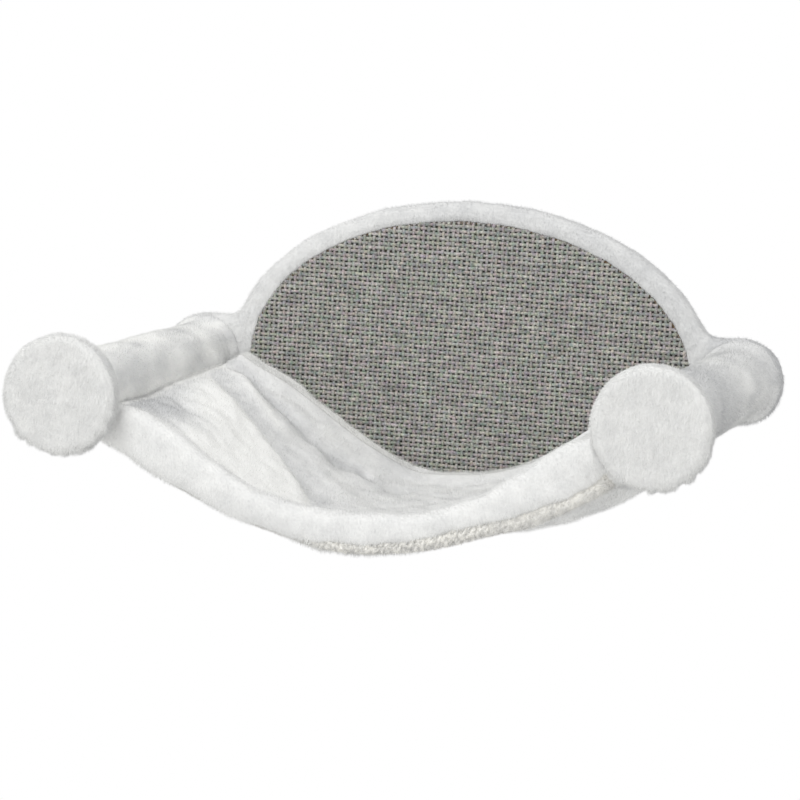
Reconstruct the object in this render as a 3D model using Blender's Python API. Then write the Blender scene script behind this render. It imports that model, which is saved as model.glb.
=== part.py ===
"""Wall-mounted cat bed: a plush hammock slung between two posts on an oval back board.

Metres, +Z up. X runs across the bed, the wall is the plane y = 0 and the posts point along -Y.
The origin lies on the wall, midway between the posts and at the height of their axes.
Depths are measured out from the wall, so a piece at depth d lies at y = -d.
"""

import math

import bmesh
import bpy
from mathutils import Matrix, Vector

# Fits shared by every piece
GAP = 0.0003            # left between two pieces that touch
OVERRUN = 0.002         # how far a cutter passes the faces that it opens
WELD = 0.00001          # points nearer than this are one point

# Cloth
PLUSH = 0.0035          # plush with its pile, on the board, the posts and the discs
HEM = 0.0025            # plush turned over the back of the board and pressed flat
HEM_WIDTH = 0.016       # how far it reaches in from the board's edge

# Back board
BOARD_HALF_WIDTH = 0.2000
BOARD_HALF_HEIGHT = 0.1316
BOARD_THICKNESS = 0.0135
EAR_RADIUS = 0.0315     # round ear that carries each post
EDGE_ROUND = 0.0055     # roundness of the plush over the board's front edge
HEM_ROUND = 0.0025      # roundness of the plush over its back edge

# Scratching mat
SISAL_SIDE_MARGIN = 0.0150  # board left beside the mat, under the plush
SISAL_TOP_MARGIN = 0.0101
SISAL_THICKNESS = 0.004
SISAL_X = 0.0024        # the mat is glued on by hand, a little off the board's middle
SISAL_Z = -0.0030
SISAL_TURN = math.radians(-1.7)

# Posts
POST_X = 0.225          # post axes, each side of the middle
SLEEVE_RADIUS = 0.0283
TUBE_WALL = 0.004
REAR_PLUG_LENGTH = 0.040
FRONT_PLUG_LENGTH = 0.032
INSERT_RADIUS = 0.006
INSERT_LENGTH = 0.020
BOLT_BORE_DEPTH = 0.027
SCREW_BORE_DEPTH = 0.030

# End discs
DISC_FACE = 0.330       # depth of the plush front of the discs, the bed's whole depth
DISC_COVER_RADIUS = 0.045
DISC_COVER_THICKNESS = 0.0235
DISC_EDGE_ROUND = 0.003
DISC_COVER_ROUND = 0.008
GATHER_RADIUS = 0.013   # opening where the disc's plush is drawn together at the back

# Post bolts and washers
BOLT_RADIUS = 0.004
BOLT_LENGTH = 0.034
BOLT_CHAMFER = 0.0008
BOLT_HEAD_ACROSS_CORNERS = 0.015
BOLT_HEAD_HEIGHT = 0.004
WASHER_RADIUS = 0.012
WASHER_THICKNESS = 0.0016
COUNTERBORE_RADIUS = 0.0135
COUNTERBORE_DEPTH = 0.0065

# Disc screws
DISC_SCREW_RADIUS = 0.0025
DISC_SCREW_HEAD_RADIUS = 0.005
DISC_SCREW_HEAD_HEIGHT = 0.0028
DISC_SCREW_LENGTH = 0.044

# Keyhole hangers on the back
HANGER_CLEARANCE = 0.0063   # from the turned-over hem to a plate's upper outer corner
HANGER_Z = 0.046
HANGER_HALF_WIDTH = 0.022
HANGER_HALF_HEIGHT = 0.013
HANGER_THICKNESS = 0.0015
HANGER_CORNER = 0.003
KEYHOLE_ENTRY_RADIUS = 0.0048
KEYHOLE_SLOT_RADIUS = 0.0023
KEYHOLE_RISE = 0.011    # from the middle of the entry hole to the middle of the slot's top
POCKET_MARGIN = 0.002   # room in the board round the keyhole for the wall screw's head
POCKET_DEPTH = 0.006
HANGER_SCREW_X = 0.016
HANGER_SCREW_RADIUS = 0.0015
HANGER_SCREW_HEAD_RADIUS = 0.003
HANGER_SCREW_LENGTH = 0.011

# Hammock lines, as heights over the post axes
CREST_LOW = -0.0775     # top of the front roll at mid span
CREST_END = -0.0080     # and at the posts
CREST_POWER = 1.7
HEM_LOW = -0.1115       # lower edge of the front roll's seam at mid span
HEM_END = -0.0440
HEM_POWER = 1.8
REAR_LOW = -0.0815      # top of the rear roll at mid span
REAR_END = 0.0020
REAR_POWER = 1.2
REAR_HEIGHT = 0.024
SEAM_HEIGHT = 0.007     # upright pile along the front roll's seam
SEAM_THICKNESS = 0.007
SEAM_END_SHARE = 0.25   # of its height that is left where the seam runs out at the posts
SEAM_FOOT = 0.25        # share of its height and thickness at which its lower edge is rounded
FRONT_ROLL_DEPTH = 0.028
REAR_ROLL_DEPTH = 0.020
ROLL_SQUARENESS = 2.6   # 2 is a plain ellipse
ROLL_SECTIONS = 9       # on each side of the middle
FRONT_ROLL_POINTS = 14
REAR_ROLL_POINTS = 12
LAST_SECTION_SHARE = 0.93

# Hammock cloth
CLOTH = 0.0035          # each of the two plush layers
FRONT_TUCK = 0.006      # how far the bowl's edge lies under the front crest
REAR_TUCK = 0.0035
BELLY = 0.012           # extra sag of the bowl between its rolls
REAR_WRAP = math.radians(6)     # where the bowl leaves the sleeve, below its side
FRONT_WRAP = math.radians(24)
CREST_WRAP = math.radians(16)
CREST_UNDERWRAP = math.radians(84)
REAR_ROLL_WRAP = math.radians(-4)
REAR_ROLL_UNDERWRAP = math.radians(52)
CLOTH_COLUMNS = 32
CLOTH_ROWS = 17

# Folds of the bowl: each follows a path of places, as shares across and out from the rear roll
# to the front one. Its depth is a share of FOLD_DEPTH, and less than nothing on a ridge. Its half
# widths are shares of FOLD_HALF_WIDTH, on the side of the front left corner and on the other.
FOLD_DEPTH = 0.010
FOLD_HALF_WIDTH = 0.012
FOLD_END_SHARE = 0.08   # a fold keeps this share of its run's fade at its two ends
PANEL_EDGE_SHARES = ((-0.98, 0.22), (-0.83, 0.33), (-0.69, 0.41), (-0.53, 0.50),
                     (-0.41, 0.62), (-0.31, 0.82))
LEFT_VALLEY_SHARES = ((-0.98, 0.03), (-0.80, 0.16), (-0.65, 0.22), (-0.40, 0.23))
LEFT_RIDGE_SHARES = ((-0.98, 0.09), (-0.77, 0.22), (-0.66, 0.31), (-0.54, 0.40))
RIGHT_EDGE_SHARES = ((0.98, 0.26), (0.70, 0.50), (0.36, 0.74))
RIGHT_VALLEY_SHARES = ((0.98, 0.04), (0.72, 0.16), (0.44, 0.24))
BOTTOM_DIMPLE_SHARES = ((-0.33, 0.17), (-0.22, 0.21), (-0.10, 0.18))
FOLD_SHARES = (
    (PANEL_EDGE_SHARES, 0.80, 0.85, 1.90),
    (LEFT_VALLEY_SHARES, 0.90, 1.00, 1.00),
    (LEFT_RIDGE_SHARES, -0.35, 0.90, 0.90),
    (RIGHT_EDGE_SHARES, 0.80, 1.00, 1.40),
    (RIGHT_VALLEY_SHARES, 0.90, 1.00, 1.00),
    (BOTTOM_DIMPLE_SHARES, 0.30, 1.00, 1.00),
)

# Outline and turning steps
ARCH_STEPS = 20
EAR_STEPS = 10
ROUND_STEPS = 3
POST_STEPS = 32
SMALL_STEPS = 16
SMOOTH_ANGLE = math.radians(35)

# Sizes that follow from the ones above
BOARD_BACK = HEM + GAP
BOARD_FRONT = BOARD_BACK + BOARD_THICKNESS
COVER_INSIDE = BOARD_FRONT + GAP
COVER_FACE = COVER_INSIDE + PLUSH
SISAL_FACE = COVER_INSIDE + SISAL_THICKNESS
SISAL_HALF_WIDTH = BOARD_HALF_WIDTH - SISAL_SIDE_MARGIN
SISAL_HALF_HEIGHT = BOARD_HALF_HEIGHT - SISAL_TOP_MARGIN
POST_START = COVER_FACE + GAP
DISC_COVER_BACK = DISC_FACE - DISC_COVER_THICKNESS
POST_END = DISC_COVER_BACK - GAP
TUBE_RADIUS = SLEEVE_RADIUS - PLUSH - GAP
PLUG_RADIUS = TUBE_RADIUS - TUBE_WALL - GAP
DISC_BACK = DISC_COVER_BACK + PLUSH + GAP
DISC_FRONT = DISC_FACE - PLUSH - GAP
DISC_RADIUS = DISC_COVER_RADIUS - PLUSH - GAP
CLEAR_RADIUS = SLEEVE_RADIUS + GAP
HALF_SPAN = POST_X - SLEEVE_RADIUS
REAR_ROLL_BACK = SISAL_FACE + GAP
REAR_ROLL_FRONT = REAR_ROLL_BACK + REAR_ROLL_DEPTH
FRONT_ROLL_FRONT = POST_END - GAP
FRONT_ROLL_BACK = FRONT_ROLL_FRONT - FRONT_ROLL_DEPTH
BOWL_REAR = REAR_ROLL_FRONT + GAP
BOWL_FRONT = FRONT_ROLL_BACK - GAP
HEM_INNER_HALF_WIDTH = BOARD_HALF_WIDTH - HEM_WIDTH
HEM_INNER_HALF_HEIGHT = BOARD_HALF_HEIGHT - HEM_WIDTH
HANGER_TOP_SHARE = (HANGER_Z + HANGER_HALF_HEIGHT) / HEM_INNER_HALF_HEIGHT
HANGER_X = (HEM_INNER_HALF_WIDTH * math.sqrt(1 - HANGER_TOP_SHARE ** 2)
            - HANGER_CLEARANCE - HANGER_HALF_WIDTH)


def clear_scene():
    for item in list(bpy.data.objects):
        bpy.data.objects.remove(item, do_unlink=True)


def material(name, color, roughness, metallic=0.0):
    made = bpy.data.materials.new(name)
    made.use_nodes = True
    shader = made.node_tree.nodes["Principled BSDF"]
    shader.inputs["Base Color"].default_value = (*color, 1.0)
    shader.inputs["Roughness"].default_value = roughness
    shader.inputs["Metallic"].default_value = metallic
    made.diffuse_color = (*color, 1.0)
    return made


def empty(name, parent=None, location=(0, 0, 0)):
    made = bpy.data.objects.new(name, None)
    made.location = location
    made.parent = parent
    bpy.context.scene.collection.objects.link(made)
    return made


def finished_mesh(name, bm, surface):
    """Write a bmesh to a mesh with outward normals, smooth faces and one material."""
    bmesh.ops.remove_doubles(bm, verts=bm.verts, dist=WELD)
    bmesh.ops.recalc_face_normals(bm, faces=bm.faces)
    mesh = bpy.data.meshes.new(name)
    bm.to_mesh(mesh)
    bm.free()
    mesh.shade_smooth()
    mesh.set_sharp_from_angle(angle=SMOOTH_ANGLE)
    mesh.materials.append(surface)
    return mesh


def place(name, mesh, parent, location=(0, 0, 0)):
    made = bpy.data.objects.new(name, mesh)
    made.location = location
    made.parent = parent
    bpy.context.scene.collection.objects.link(made)
    return made


def hide_cutter(made):
    made.hide_render = True
    made.display_type = "WIRE"


def cut(target, cutter):
    """Take the cutter out of the target and leave the modifier live."""
    step = target.modifiers.new("Cut", "BOOLEAN")
    step.operation = "DIFFERENCE"
    step.solver = "EXACT"
    step.object = cutter


def turned(name, profile, steps, surface, hollow=False):
    """Turn a profile of (radius, depth) points about the post direction.

    A hollow profile is a closed ring of points. Otherwise it starts and ends on the axis.
    """
    bm = bmesh.new()
    points = [bm.verts.new((radius, -depth, 0)) for radius, depth in profile]
    edges = [bm.edges.new(pair) for pair in zip(points, points[1:])]
    if hollow:
        edges.append(bm.edges.new((points[-1], points[0])))
    bmesh.ops.spin(bm, geom=points + edges, cent=(0, 0, 0), axis=(0, 1, 0),
                   angle=math.tau, steps=steps, use_merge=True)
    return finished_mesh(name, bm, surface)


def arc(middle, radius, start, end, steps):
    """Points on an arc in a (radius, depth) profile, from one angle to another."""
    points = []
    for step in range(steps + 1):
        angle = start + (end - start) * step / steps
        points.append((middle[0] + radius * math.cos(angle),
                       middle[1] + radius * math.sin(angle)))
    return points


def board_outline(grow):
    """The board's oval with its two round ears, offset outwards by grow, as (x, z) points."""
    half_width = BOARD_HALF_WIDTH + grow
    half_height = BOARD_HALF_HEIGHT + grow
    ear = EAR_RADIUS + grow
    corner = math.asin(ear / half_height)
    points = []
    for end in (1, -1):
        for step in range(ARCH_STEPS + 1):
            angle = corner + (math.pi - 2 * corner) * step / ARCH_STEPS
            points.append((end * half_width * math.cos(angle),
                           end * half_height * math.sin(angle)))
        for step in range(EAR_STEPS + 1):
            angle = math.pi / 2 + math.pi * step / EAR_STEPS
            points.append((end * (ear * math.cos(angle) - POST_X),
                           end * ear * math.sin(angle)))
    return points


def sisal_outline(grow):
    """The mat's oval in its place, with its points facing those of the board's outline."""
    corner = math.asin(EAR_RADIUS / BOARD_HALF_HEIGHT)
    angles = [corner + (math.pi - 2 * corner) * step / ARCH_STEPS
              for step in range(ARCH_STEPS + 1)]
    angles += [math.pi - corner + 2 * corner * (step + 1) / (EAR_STEPS + 2)
               for step in range(EAR_STEPS + 1)]
    turn = Matrix.Rotation(SISAL_TURN, 2)
    points = []
    for end in (1, -1):
        for angle in angles:
            x, z = turn @ Vector((end * (SISAL_HALF_WIDTH + grow) * math.cos(angle),
                                  end * (SISAL_HALF_HEIGHT + grow) * math.sin(angle)))
            points.append((SISAL_X + x, SISAL_Z + z))
    return points


def ring_at(bm, outline, depth):
    return [bm.verts.new((x, -depth, z)) for x, z in outline]


def bridge(bm, first, second):
    """Join two rings of as many points by a band of quads."""
    count = len(first)
    for index in range(count):
        after = (index + 1) % count
        bm.faces.new((first[index], first[after], second[after], second[index]))


def slab(bm, outline, back, front):
    """A flat plate of the given outline between two depths."""
    face = bm.faces.new(ring_at(bm, outline, back))
    moved = bmesh.ops.extrude_face_region(bm, geom=[face])
    corners = [item for item in moved["geom"] if isinstance(item, bmesh.types.BMVert)]
    bmesh.ops.translate(bm, verts=corners, vec=(0, back - front, 0))


def circle(x, z, radius, steps):
    return [(x + radius * math.cos(math.tau * step / steps),
             z + radius * math.sin(math.tau * step / steps)) for step in range(steps)]


def stadium(x, low, high, radius, steps):
    """An upright slot with round ends, from the middle of one end to that of the other."""
    points = []
    for step in range(steps + 1):
        angle = math.pi * step / steps
        points.append((x + radius * math.cos(angle), high + radius * math.sin(angle)))
    for step in range(steps + 1):
        angle = math.pi + math.pi * step / steps
        points.append((x + radius * math.cos(angle), low + radius * math.sin(angle)))
    return points


def keyhole_entry_z():
    return HANGER_Z - KEYHOLE_RISE / 2


def keyhole_top_z():
    return HANGER_Z + KEYHOLE_RISE / 2


def build_board(root, wood):
    """The board, with counterbored post holes, hanger pockets and pilot holes."""
    bm = bmesh.new()
    slab(bm, board_outline(0), BOARD_BACK, BOARD_FRONT)
    board = place("back_board", finished_mesh("back_board", bm, wood), root)

    bm = bmesh.new()
    for side in (-1, 1):
        bore = circle(side * POST_X, 0, BOLT_RADIUS + GAP, SMALL_STEPS)
        slab(bm, bore, BOARD_BACK + COUNTERBORE_DEPTH - OVERRUN, BOARD_FRONT + OVERRUN)
        pocket = stadium(side * HANGER_X, keyhole_entry_z(), keyhole_top_z(),
                         KEYHOLE_ENTRY_RADIUS + POCKET_MARGIN, SMALL_STEPS // 2)
        slab(bm, pocket, BOARD_BACK - OVERRUN, BOARD_BACK + POCKET_DEPTH)
        for end in (-1, 1):
            pilot = circle(side * HANGER_X + end * HANGER_SCREW_X, HANGER_Z,
                           HANGER_SCREW_RADIUS + GAP, SMALL_STEPS // 2)
            slab(bm, pilot, BOARD_BACK - OVERRUN, hanger_screw_tip() + GAP)
    holes = place("board_holes", finished_mesh("board_holes", bm, wood), root)
    hide_cutter(holes)
    cut(board, holes)

    bm = bmesh.new()
    for side in (-1, 1):
        sink = circle(side * POST_X, 0, COUNTERBORE_RADIUS, SMALL_STEPS)
        slab(bm, sink, BOARD_BACK - OVERRUN, BOARD_BACK + COUNTERBORE_DEPTH)
    sinks = place("board_counterbores", finished_mesh("board_counterbores", bm, wood), root)
    hide_cutter(sinks)
    cut(board, sinks)


def build_board_cover(root, plush):
    """Plush round the board's front margin and edge, turned over and pressed on its back."""
    outside = GAP + PLUSH
    bm = bmesh.new()
    rings = [ring_at(bm, sisal_outline(GAP), COVER_INSIDE),
             ring_at(bm, sisal_outline(GAP), COVER_FACE)]
    for step in range(ROUND_STEPS + 1):
        turn = math.pi / 2 * step / ROUND_STEPS
        grow = outside - EDGE_ROUND + EDGE_ROUND * math.sin(turn)
        depth = COVER_FACE - EDGE_ROUND + EDGE_ROUND * math.cos(turn)
        rings.append(ring_at(bm, board_outline(grow), depth))
    for step in range(ROUND_STEPS):
        turn = math.pi / 2 * step / (ROUND_STEPS - 1)
        grow = outside - HEM_ROUND + HEM_ROUND * math.cos(turn)
        depth = HEM_ROUND - HEM_ROUND * math.sin(turn)
        rings.append(ring_at(bm, board_outline(grow), depth))
    rings.append(ring_at(bm, board_outline(-HEM_WIDTH), 0))
    rings.append(ring_at(bm, board_outline(-HEM_WIDTH), HEM))
    rings.append(ring_at(bm, board_outline(GAP), HEM))
    rings.append(ring_at(bm, board_outline(GAP), COVER_INSIDE))
    for first, second in zip(rings, rings[1:] + rings[:1]):
        bridge(bm, first, second)
    cover = place("board_cover", finished_mesh("board_cover", bm, plush), root)

    bm = bmesh.new()
    for side in (-1, 1):
        bore = circle(side * POST_X, 0, BOLT_RADIUS + GAP, SMALL_STEPS)
        slab(bm, bore, COVER_INSIDE - OVERRUN, COVER_FACE + OVERRUN)
    holes = place("cover_holes", finished_mesh("cover_holes", bm, plush), root)
    hide_cutter(holes)
    cut(cover, holes)


def build_sisal(root, sisal):
    bm = bmesh.new()
    slab(bm, sisal_outline(0), COVER_INSIDE, SISAL_FACE)
    place("sisal_mat", finished_mesh("sisal_mat", bm, sisal), root)


def build_posts(arms, board, wood, plush, steel):
    """Each post: a tube with a plug at each end, a threaded insert and a plush sleeve."""
    tube_inside = TUBE_RADIUS - TUBE_WALL
    ring = [(tube_inside, POST_START), (TUBE_RADIUS, POST_START),
            (TUBE_RADIUS, POST_END), (tube_inside, POST_END)]
    tube = turned("post_tube", ring, POST_STEPS, board, hollow=True)

    sleeve_inside = SLEEVE_RADIUS - PLUSH
    ring = [(sleeve_inside, POST_START), (SLEEVE_RADIUS, POST_START),
            (SLEEVE_RADIUS, POST_END), (sleeve_inside, POST_END)]
    sleeve = turned("arm_sleeve", ring, POST_STEPS, plush, hollow=True)

    bore = INSERT_RADIUS + GAP
    rear_plug = turned("post_rear_plug", [
        (0, POST_START + BOLT_BORE_DEPTH), (bore, POST_START + BOLT_BORE_DEPTH),
        (bore, POST_START), (PLUG_RADIUS, POST_START),
        (PLUG_RADIUS, POST_START + REAR_PLUG_LENGTH), (0, POST_START + REAR_PLUG_LENGTH),
    ], POST_STEPS, wood)

    pilot = DISC_SCREW_RADIUS + GAP
    front_plug = turned("post_front_plug", [
        (0, POST_END - SCREW_BORE_DEPTH), (pilot, POST_END - SCREW_BORE_DEPTH),
        (pilot, POST_END), (PLUG_RADIUS, POST_END),
        (PLUG_RADIUS, POST_END - FRONT_PLUG_LENGTH), (0, POST_END - FRONT_PLUG_LENGTH),
    ], POST_STEPS, wood)

    thread = BOLT_RADIUS + GAP
    ring = [(thread, POST_START), (INSERT_RADIUS, POST_START),
            (INSERT_RADIUS, POST_START + INSERT_LENGTH), (thread, POST_START + INSERT_LENGTH)]
    insert = turned("post_insert", ring, SMALL_STEPS, steel, hollow=True)

    for side, arm in arms.items():
        place("post_tube_" + side, tube, arm)
        place("arm_sleeve_" + side, sleeve, arm)
        place("post_rear_plug_" + side, rear_plug, arm)
        place("post_front_plug_" + side, front_plug, arm)
        place("post_insert_" + side, insert, arm)


def build_post_bolts(arms, steel):
    """A washer at the bottom of each counterbore, and a hexagon-headed bolt through it."""
    seat = BOARD_BACK + COUNTERBORE_DEPTH - GAP
    washer_back = seat - WASHER_THICKNESS
    hole = BOLT_RADIUS + GAP
    ring = [(hole, washer_back), (WASHER_RADIUS, washer_back),
            (WASHER_RADIUS, seat), (hole, seat)]
    washer = turned("post_washer", ring, SMALL_STEPS, steel, hollow=True)

    head_front = washer_back - GAP
    bm = bmesh.new()
    hexagon = circle(0, 0, BOLT_HEAD_ACROSS_CORNERS / 2, 6)
    slab(bm, hexagon, head_front - BOLT_HEAD_HEIGHT, head_front)
    head = finished_mesh("bolt_head", bm, steel)
    shank = turned("bolt_shank", [
        (0, head_front - BOLT_HEAD_HEIGHT / 2), (BOLT_RADIUS, head_front - BOLT_HEAD_HEIGHT / 2),
        (BOLT_RADIUS, head_front + BOLT_LENGTH - BOLT_CHAMFER),
        (BOLT_RADIUS - BOLT_CHAMFER, head_front + BOLT_LENGTH),
        (0, head_front + BOLT_LENGTH),
    ], SMALL_STEPS, steel)

    for side, arm in arms.items():
        place("post_washer_" + side, washer, arm)
        bolt = place("post_bolt_" + side, head, arm)
        stem = place("bolt_stem_" + side, shank, arm)
        hide_cutter(stem)
        join = bolt.modifiers.new("Shank", "BOOLEAN")
        join.operation = "UNION"
        join.solver = "EXACT"
        join.object = stem


def build_discs(arms, wood, plush, steel):
    """The wooden end discs, the plush drawn over each and the screw that holds it."""
    hole = DISC_SCREW_RADIUS + GAP
    sink = DISC_SCREW_HEAD_RADIUS + GAP
    rim = DISC_RADIUS - DISC_EDGE_ROUND
    ring = [(hole, DISC_BACK)]
    ring += arc((rim, DISC_BACK + DISC_EDGE_ROUND), DISC_EDGE_ROUND,
                -math.pi / 2, 0, 2)
    ring += arc((rim, DISC_FRONT - DISC_EDGE_ROUND), DISC_EDGE_ROUND,
                0, math.pi / 2, 2)
    ring += [(sink, DISC_FRONT), (hole, DISC_FRONT - DISC_SCREW_HEAD_HEIGHT)]
    disc = turned("end_disc", ring, POST_STEPS, wood, hollow=True)

    outer = DISC_COVER_RADIUS - DISC_COVER_ROUND
    profile = [(0, DISC_FACE)]
    profile += arc((outer, DISC_FACE - DISC_COVER_ROUND), DISC_COVER_ROUND,
                   math.pi / 2, 0, ROUND_STEPS)
    profile += arc((outer, DISC_COVER_BACK + DISC_COVER_ROUND), DISC_COVER_ROUND,
                   0, -math.pi / 2, ROUND_STEPS)
    profile += [(GATHER_RADIUS, DISC_COVER_BACK), (GATHER_RADIUS, DISC_BACK - GAP)]
    profile += arc((rim, DISC_BACK + DISC_EDGE_ROUND), DISC_EDGE_ROUND + GAP,
                   -math.pi / 2, 0, 2)
    profile += arc((rim, DISC_FRONT - DISC_EDGE_ROUND), DISC_EDGE_ROUND + GAP,
                   0, math.pi / 2, 2)
    profile += [(0, DISC_FRONT + GAP)]
    cover = turned("disc_cover", profile, POST_STEPS, plush)

    head = DISC_SCREW_HEAD_RADIUS
    stem = DISC_SCREW_RADIUS
    tip = DISC_FRONT - DISC_SCREW_LENGTH
    screw = turned("disc_screw", [
        (0, DISC_FRONT), (head, DISC_FRONT), (stem, DISC_FRONT - DISC_SCREW_HEAD_HEIGHT),
        (stem, tip + stem), (0, tip),
    ], SMALL_STEPS, steel)

    for side, arm in arms.items():
        place("end_disc_" + side, disc, arm)
        place("disc_cover_" + side, cover, arm)
        place("disc_screw_" + side, screw, arm)


def hanger_back():
    return BOARD_BACK - GAP - HANGER_THICKNESS


def hanger_screw_tip():
    return hanger_back() + HANGER_SCREW_LENGTH


def build_hangers(root, steel):
    """A keyhole plate each side, held by two countersunk screws."""
    sink_depth = HANGER_SCREW_HEAD_RADIUS - HANGER_SCREW_RADIUS
    screw = turned("hanger_screw", [
        (0, 0), (HANGER_SCREW_HEAD_RADIUS, 0), (HANGER_SCREW_RADIUS, sink_depth),
        (HANGER_SCREW_RADIUS, HANGER_SCREW_LENGTH - HANGER_SCREW_RADIUS), (0, HANGER_SCREW_LENGTH),
    ], SMALL_STEPS // 2, steel)

    for side, sign in (("left", -1), ("right", 1)):
        middle = sign * HANGER_X
        bm = bmesh.new()
        outline = []
        for across, up, start in ((1, 1, 0), (-1, 1, 1), (-1, -1, 2), (1, -1, 3)):
            corner = (middle + across * (HANGER_HALF_WIDTH - HANGER_CORNER),
                      HANGER_Z + up * (HANGER_HALF_HEIGHT - HANGER_CORNER))
            outline += arc(corner, HANGER_CORNER, start * math.pi / 2,
                           (start + 1) * math.pi / 2, 2)
        slab(bm, outline, hanger_back(), BOARD_BACK - GAP)
        name = "hanger_plate_" + side
        plate = place(name, finished_mesh(name, bm, steel), root)

        bm = bmesh.new()
        entry = circle(middle, keyhole_entry_z(), KEYHOLE_ENTRY_RADIUS, SMALL_STEPS)
        slab(bm, entry, hanger_back() - OVERRUN, BOARD_BACK + OVERRUN)
        for end in (-1, 1):
            across = middle + end * HANGER_SCREW_X
            rings = []
            for radius, depth in (
                    (HANGER_SCREW_HEAD_RADIUS + GAP + OVERRUN, hanger_back() - OVERRUN),
                    (HANGER_SCREW_RADIUS + GAP, hanger_back() + sink_depth),
                    (HANGER_SCREW_RADIUS + GAP, BOARD_BACK + OVERRUN)):
                rings.append(ring_at(bm, circle(across, HANGER_Z, radius, SMALL_STEPS // 2), depth))
            for first, second in zip(rings, rings[1:]):
                bridge(bm, first, second)
            bm.faces.new(rings[0])
            bm.faces.new(rings[-1])
        holes = place("hanger_holes_" + side, finished_mesh("hanger_holes", bm, steel), root)
        hide_cutter(holes)
        cut(plate, holes)

        bm = bmesh.new()
        slot = stadium(middle, keyhole_entry_z(), keyhole_top_z(), KEYHOLE_SLOT_RADIUS,
                       SMALL_STEPS // 4)
        slab(bm, slot, hanger_back() - OVERRUN, BOARD_BACK + OVERRUN)
        slots = place("hanger_slot_" + side, finished_mesh("hanger_slot", bm, steel), root)
        hide_cutter(slots)
        cut(plate, slots)

        for number, end in (("outer", 1), ("inner", -1)):
            place("hanger_screw_%s_%s" % (side, number), screw, root,
                  (middle + sign * end * HANGER_SCREW_X, -hanger_back(), HANGER_Z))


def blend(first, second, share):
    return first + (second - first) * share


def hang(across, low, end, power):
    """Height of cloth that hangs between the posts, flat at mid span and at the posts."""
    rise = (1 - math.cos(math.pi * min(abs(across), 1))) / 2
    return low + (end - low) * rise ** power


def crest_line(across):
    return hang(across, CREST_LOW, CREST_END, CREST_POWER)


def hem_line(across):
    return HEM_LOW + (HEM_END - HEM_LOW) * abs(across) ** HEM_POWER


def rear_line(across):
    return hang(across, REAR_LOW, REAR_END, REAR_POWER)


def seam_height(across):
    """The seam's height, which runs out towards the posts."""
    left = 1 - abs(across / LAST_SECTION_SHARE) ** 6
    return SEAM_HEIGHT * blend(SEAM_END_SHARE, 1, max(left, 0))


def front_roll_low(across):
    return hem_line(across) + seam_height(across) + GAP


def rear_roll_low(across):
    return rear_line(across) - REAR_HEIGHT


def place_on_path(spot, path):
    """How far a spot lies from a path, to which side of it, and how far along it.

    The side runs from 1, square to the path on its front left, to -1 on its other side.
    """
    length = sum((head - tail).length for tail, head in zip(path, path[1:]))
    found = []
    gone = 0
    for tail, head in zip(path, path[1:]):
        run = head - tail
        share = min(max((spot - tail).dot(run) / run.length_squared, 0), 1)
        off = spot - (tail + run * share)
        side = run.cross(off) / (run.length * off.length) if off.length else 0
        found.append((off.length, side, (gone + run.length * share) / length))
        gone += run.length
    return min(found)


def fold_drop(across, out):
    """How far the folds lower the bowl at a place given in shares."""
    width = HALF_SPAN
    depth = BOWL_FRONT - BOWL_REAR
    spot = Vector((across * width, out * depth))
    drop = 0
    for path_shares, deep, near, far in FOLD_SHARES:
        path = [Vector((x * width, y * depth)) for x, y in path_shares]
        away, side, along = place_on_path(spot, path)
        reach = FOLD_HALF_WIDTH * blend(far, near, (1 + side) / 2)
        end = min(max(along, FOLD_END_SHARE), 1 - FOLD_END_SHARE)
        fade = math.sqrt(math.sin(math.pi * end))
        drop += deep * FOLD_DEPTH * fade * math.exp(-(away / reach) ** 2)
    return drop


def bowl_wrap(out):
    return blend(REAR_WRAP, FRONT_WRAP, out)


def bowl_height(across, out):
    """Height of the bowl's upper face."""
    low = blend(REAR_LOW - REAR_TUCK, CREST_LOW - FRONT_TUCK, out) - BELLY * 4 * out * (1 - out)
    end = -SLEEVE_RADIUS * math.sin(bowl_wrap(out))
    calm = math.sqrt(math.sin(math.pi * out)) if 0 < out < 1 else 0
    height = hang(across, low, end, blend(REAR_POWER, CREST_POWER, out))
    return height - fold_drop(across, out) * calm


def on_sleeve(side, wrap, depth):
    """A point that just clears the sleeve, wrap radians below its inner side."""
    return (side * (POST_X - CLEAR_RADIUS * math.cos(wrap)), -depth,
            -CLEAR_RADIUS * math.sin(wrap))


def build_bowl(root, plush):
    """The bowl's two plush layers, laid one on the other and sewn to the sleeves."""
    for name, upper, lower in (("hammock_top", 0, CLOTH),
                               ("hammock_under", CLOTH + GAP, 2 * CLOTH + GAP)):
        bm = bmesh.new()
        sheets = []
        for level in (upper, lower):
            rows = []
            for row in range(CLOTH_ROWS + 1):
                out = row / CLOTH_ROWS
                depth = blend(BOWL_REAR, BOWL_FRONT, out)
                wrap = bowl_wrap(out) + level / CLEAR_RADIUS
                points = [bm.verts.new(on_sleeve(-1, wrap, depth))]
                for column in range(1, CLOTH_COLUMNS):
                    across = LAST_SECTION_SHARE * (2 * column / CLOTH_COLUMNS - 1) \
                        * CLOTH_COLUMNS / (CLOTH_COLUMNS - 2)
                    points.append(bm.verts.new((across * HALF_SPAN, -depth,
                                                bowl_height(across, out) - level)))
                points.append(bm.verts.new(on_sleeve(1, wrap, depth)))
                rows.append(points)
            for near, far in zip(rows, rows[1:]):
                for column in range(CLOTH_COLUMNS):
                    bm.faces.new((near[column], near[column + 1], far[column + 1], far[column]))
            border = rows[0] + [row[-1] for row in rows[1:-1]] + rows[-1][::-1]
            border += [row[0] for row in rows[-2:0:-1]]
            sheets.append(border)
        bridge(bm, sheets[0], sheets[1])
        place(name, finished_mesh(name, bm, plush), root)


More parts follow.
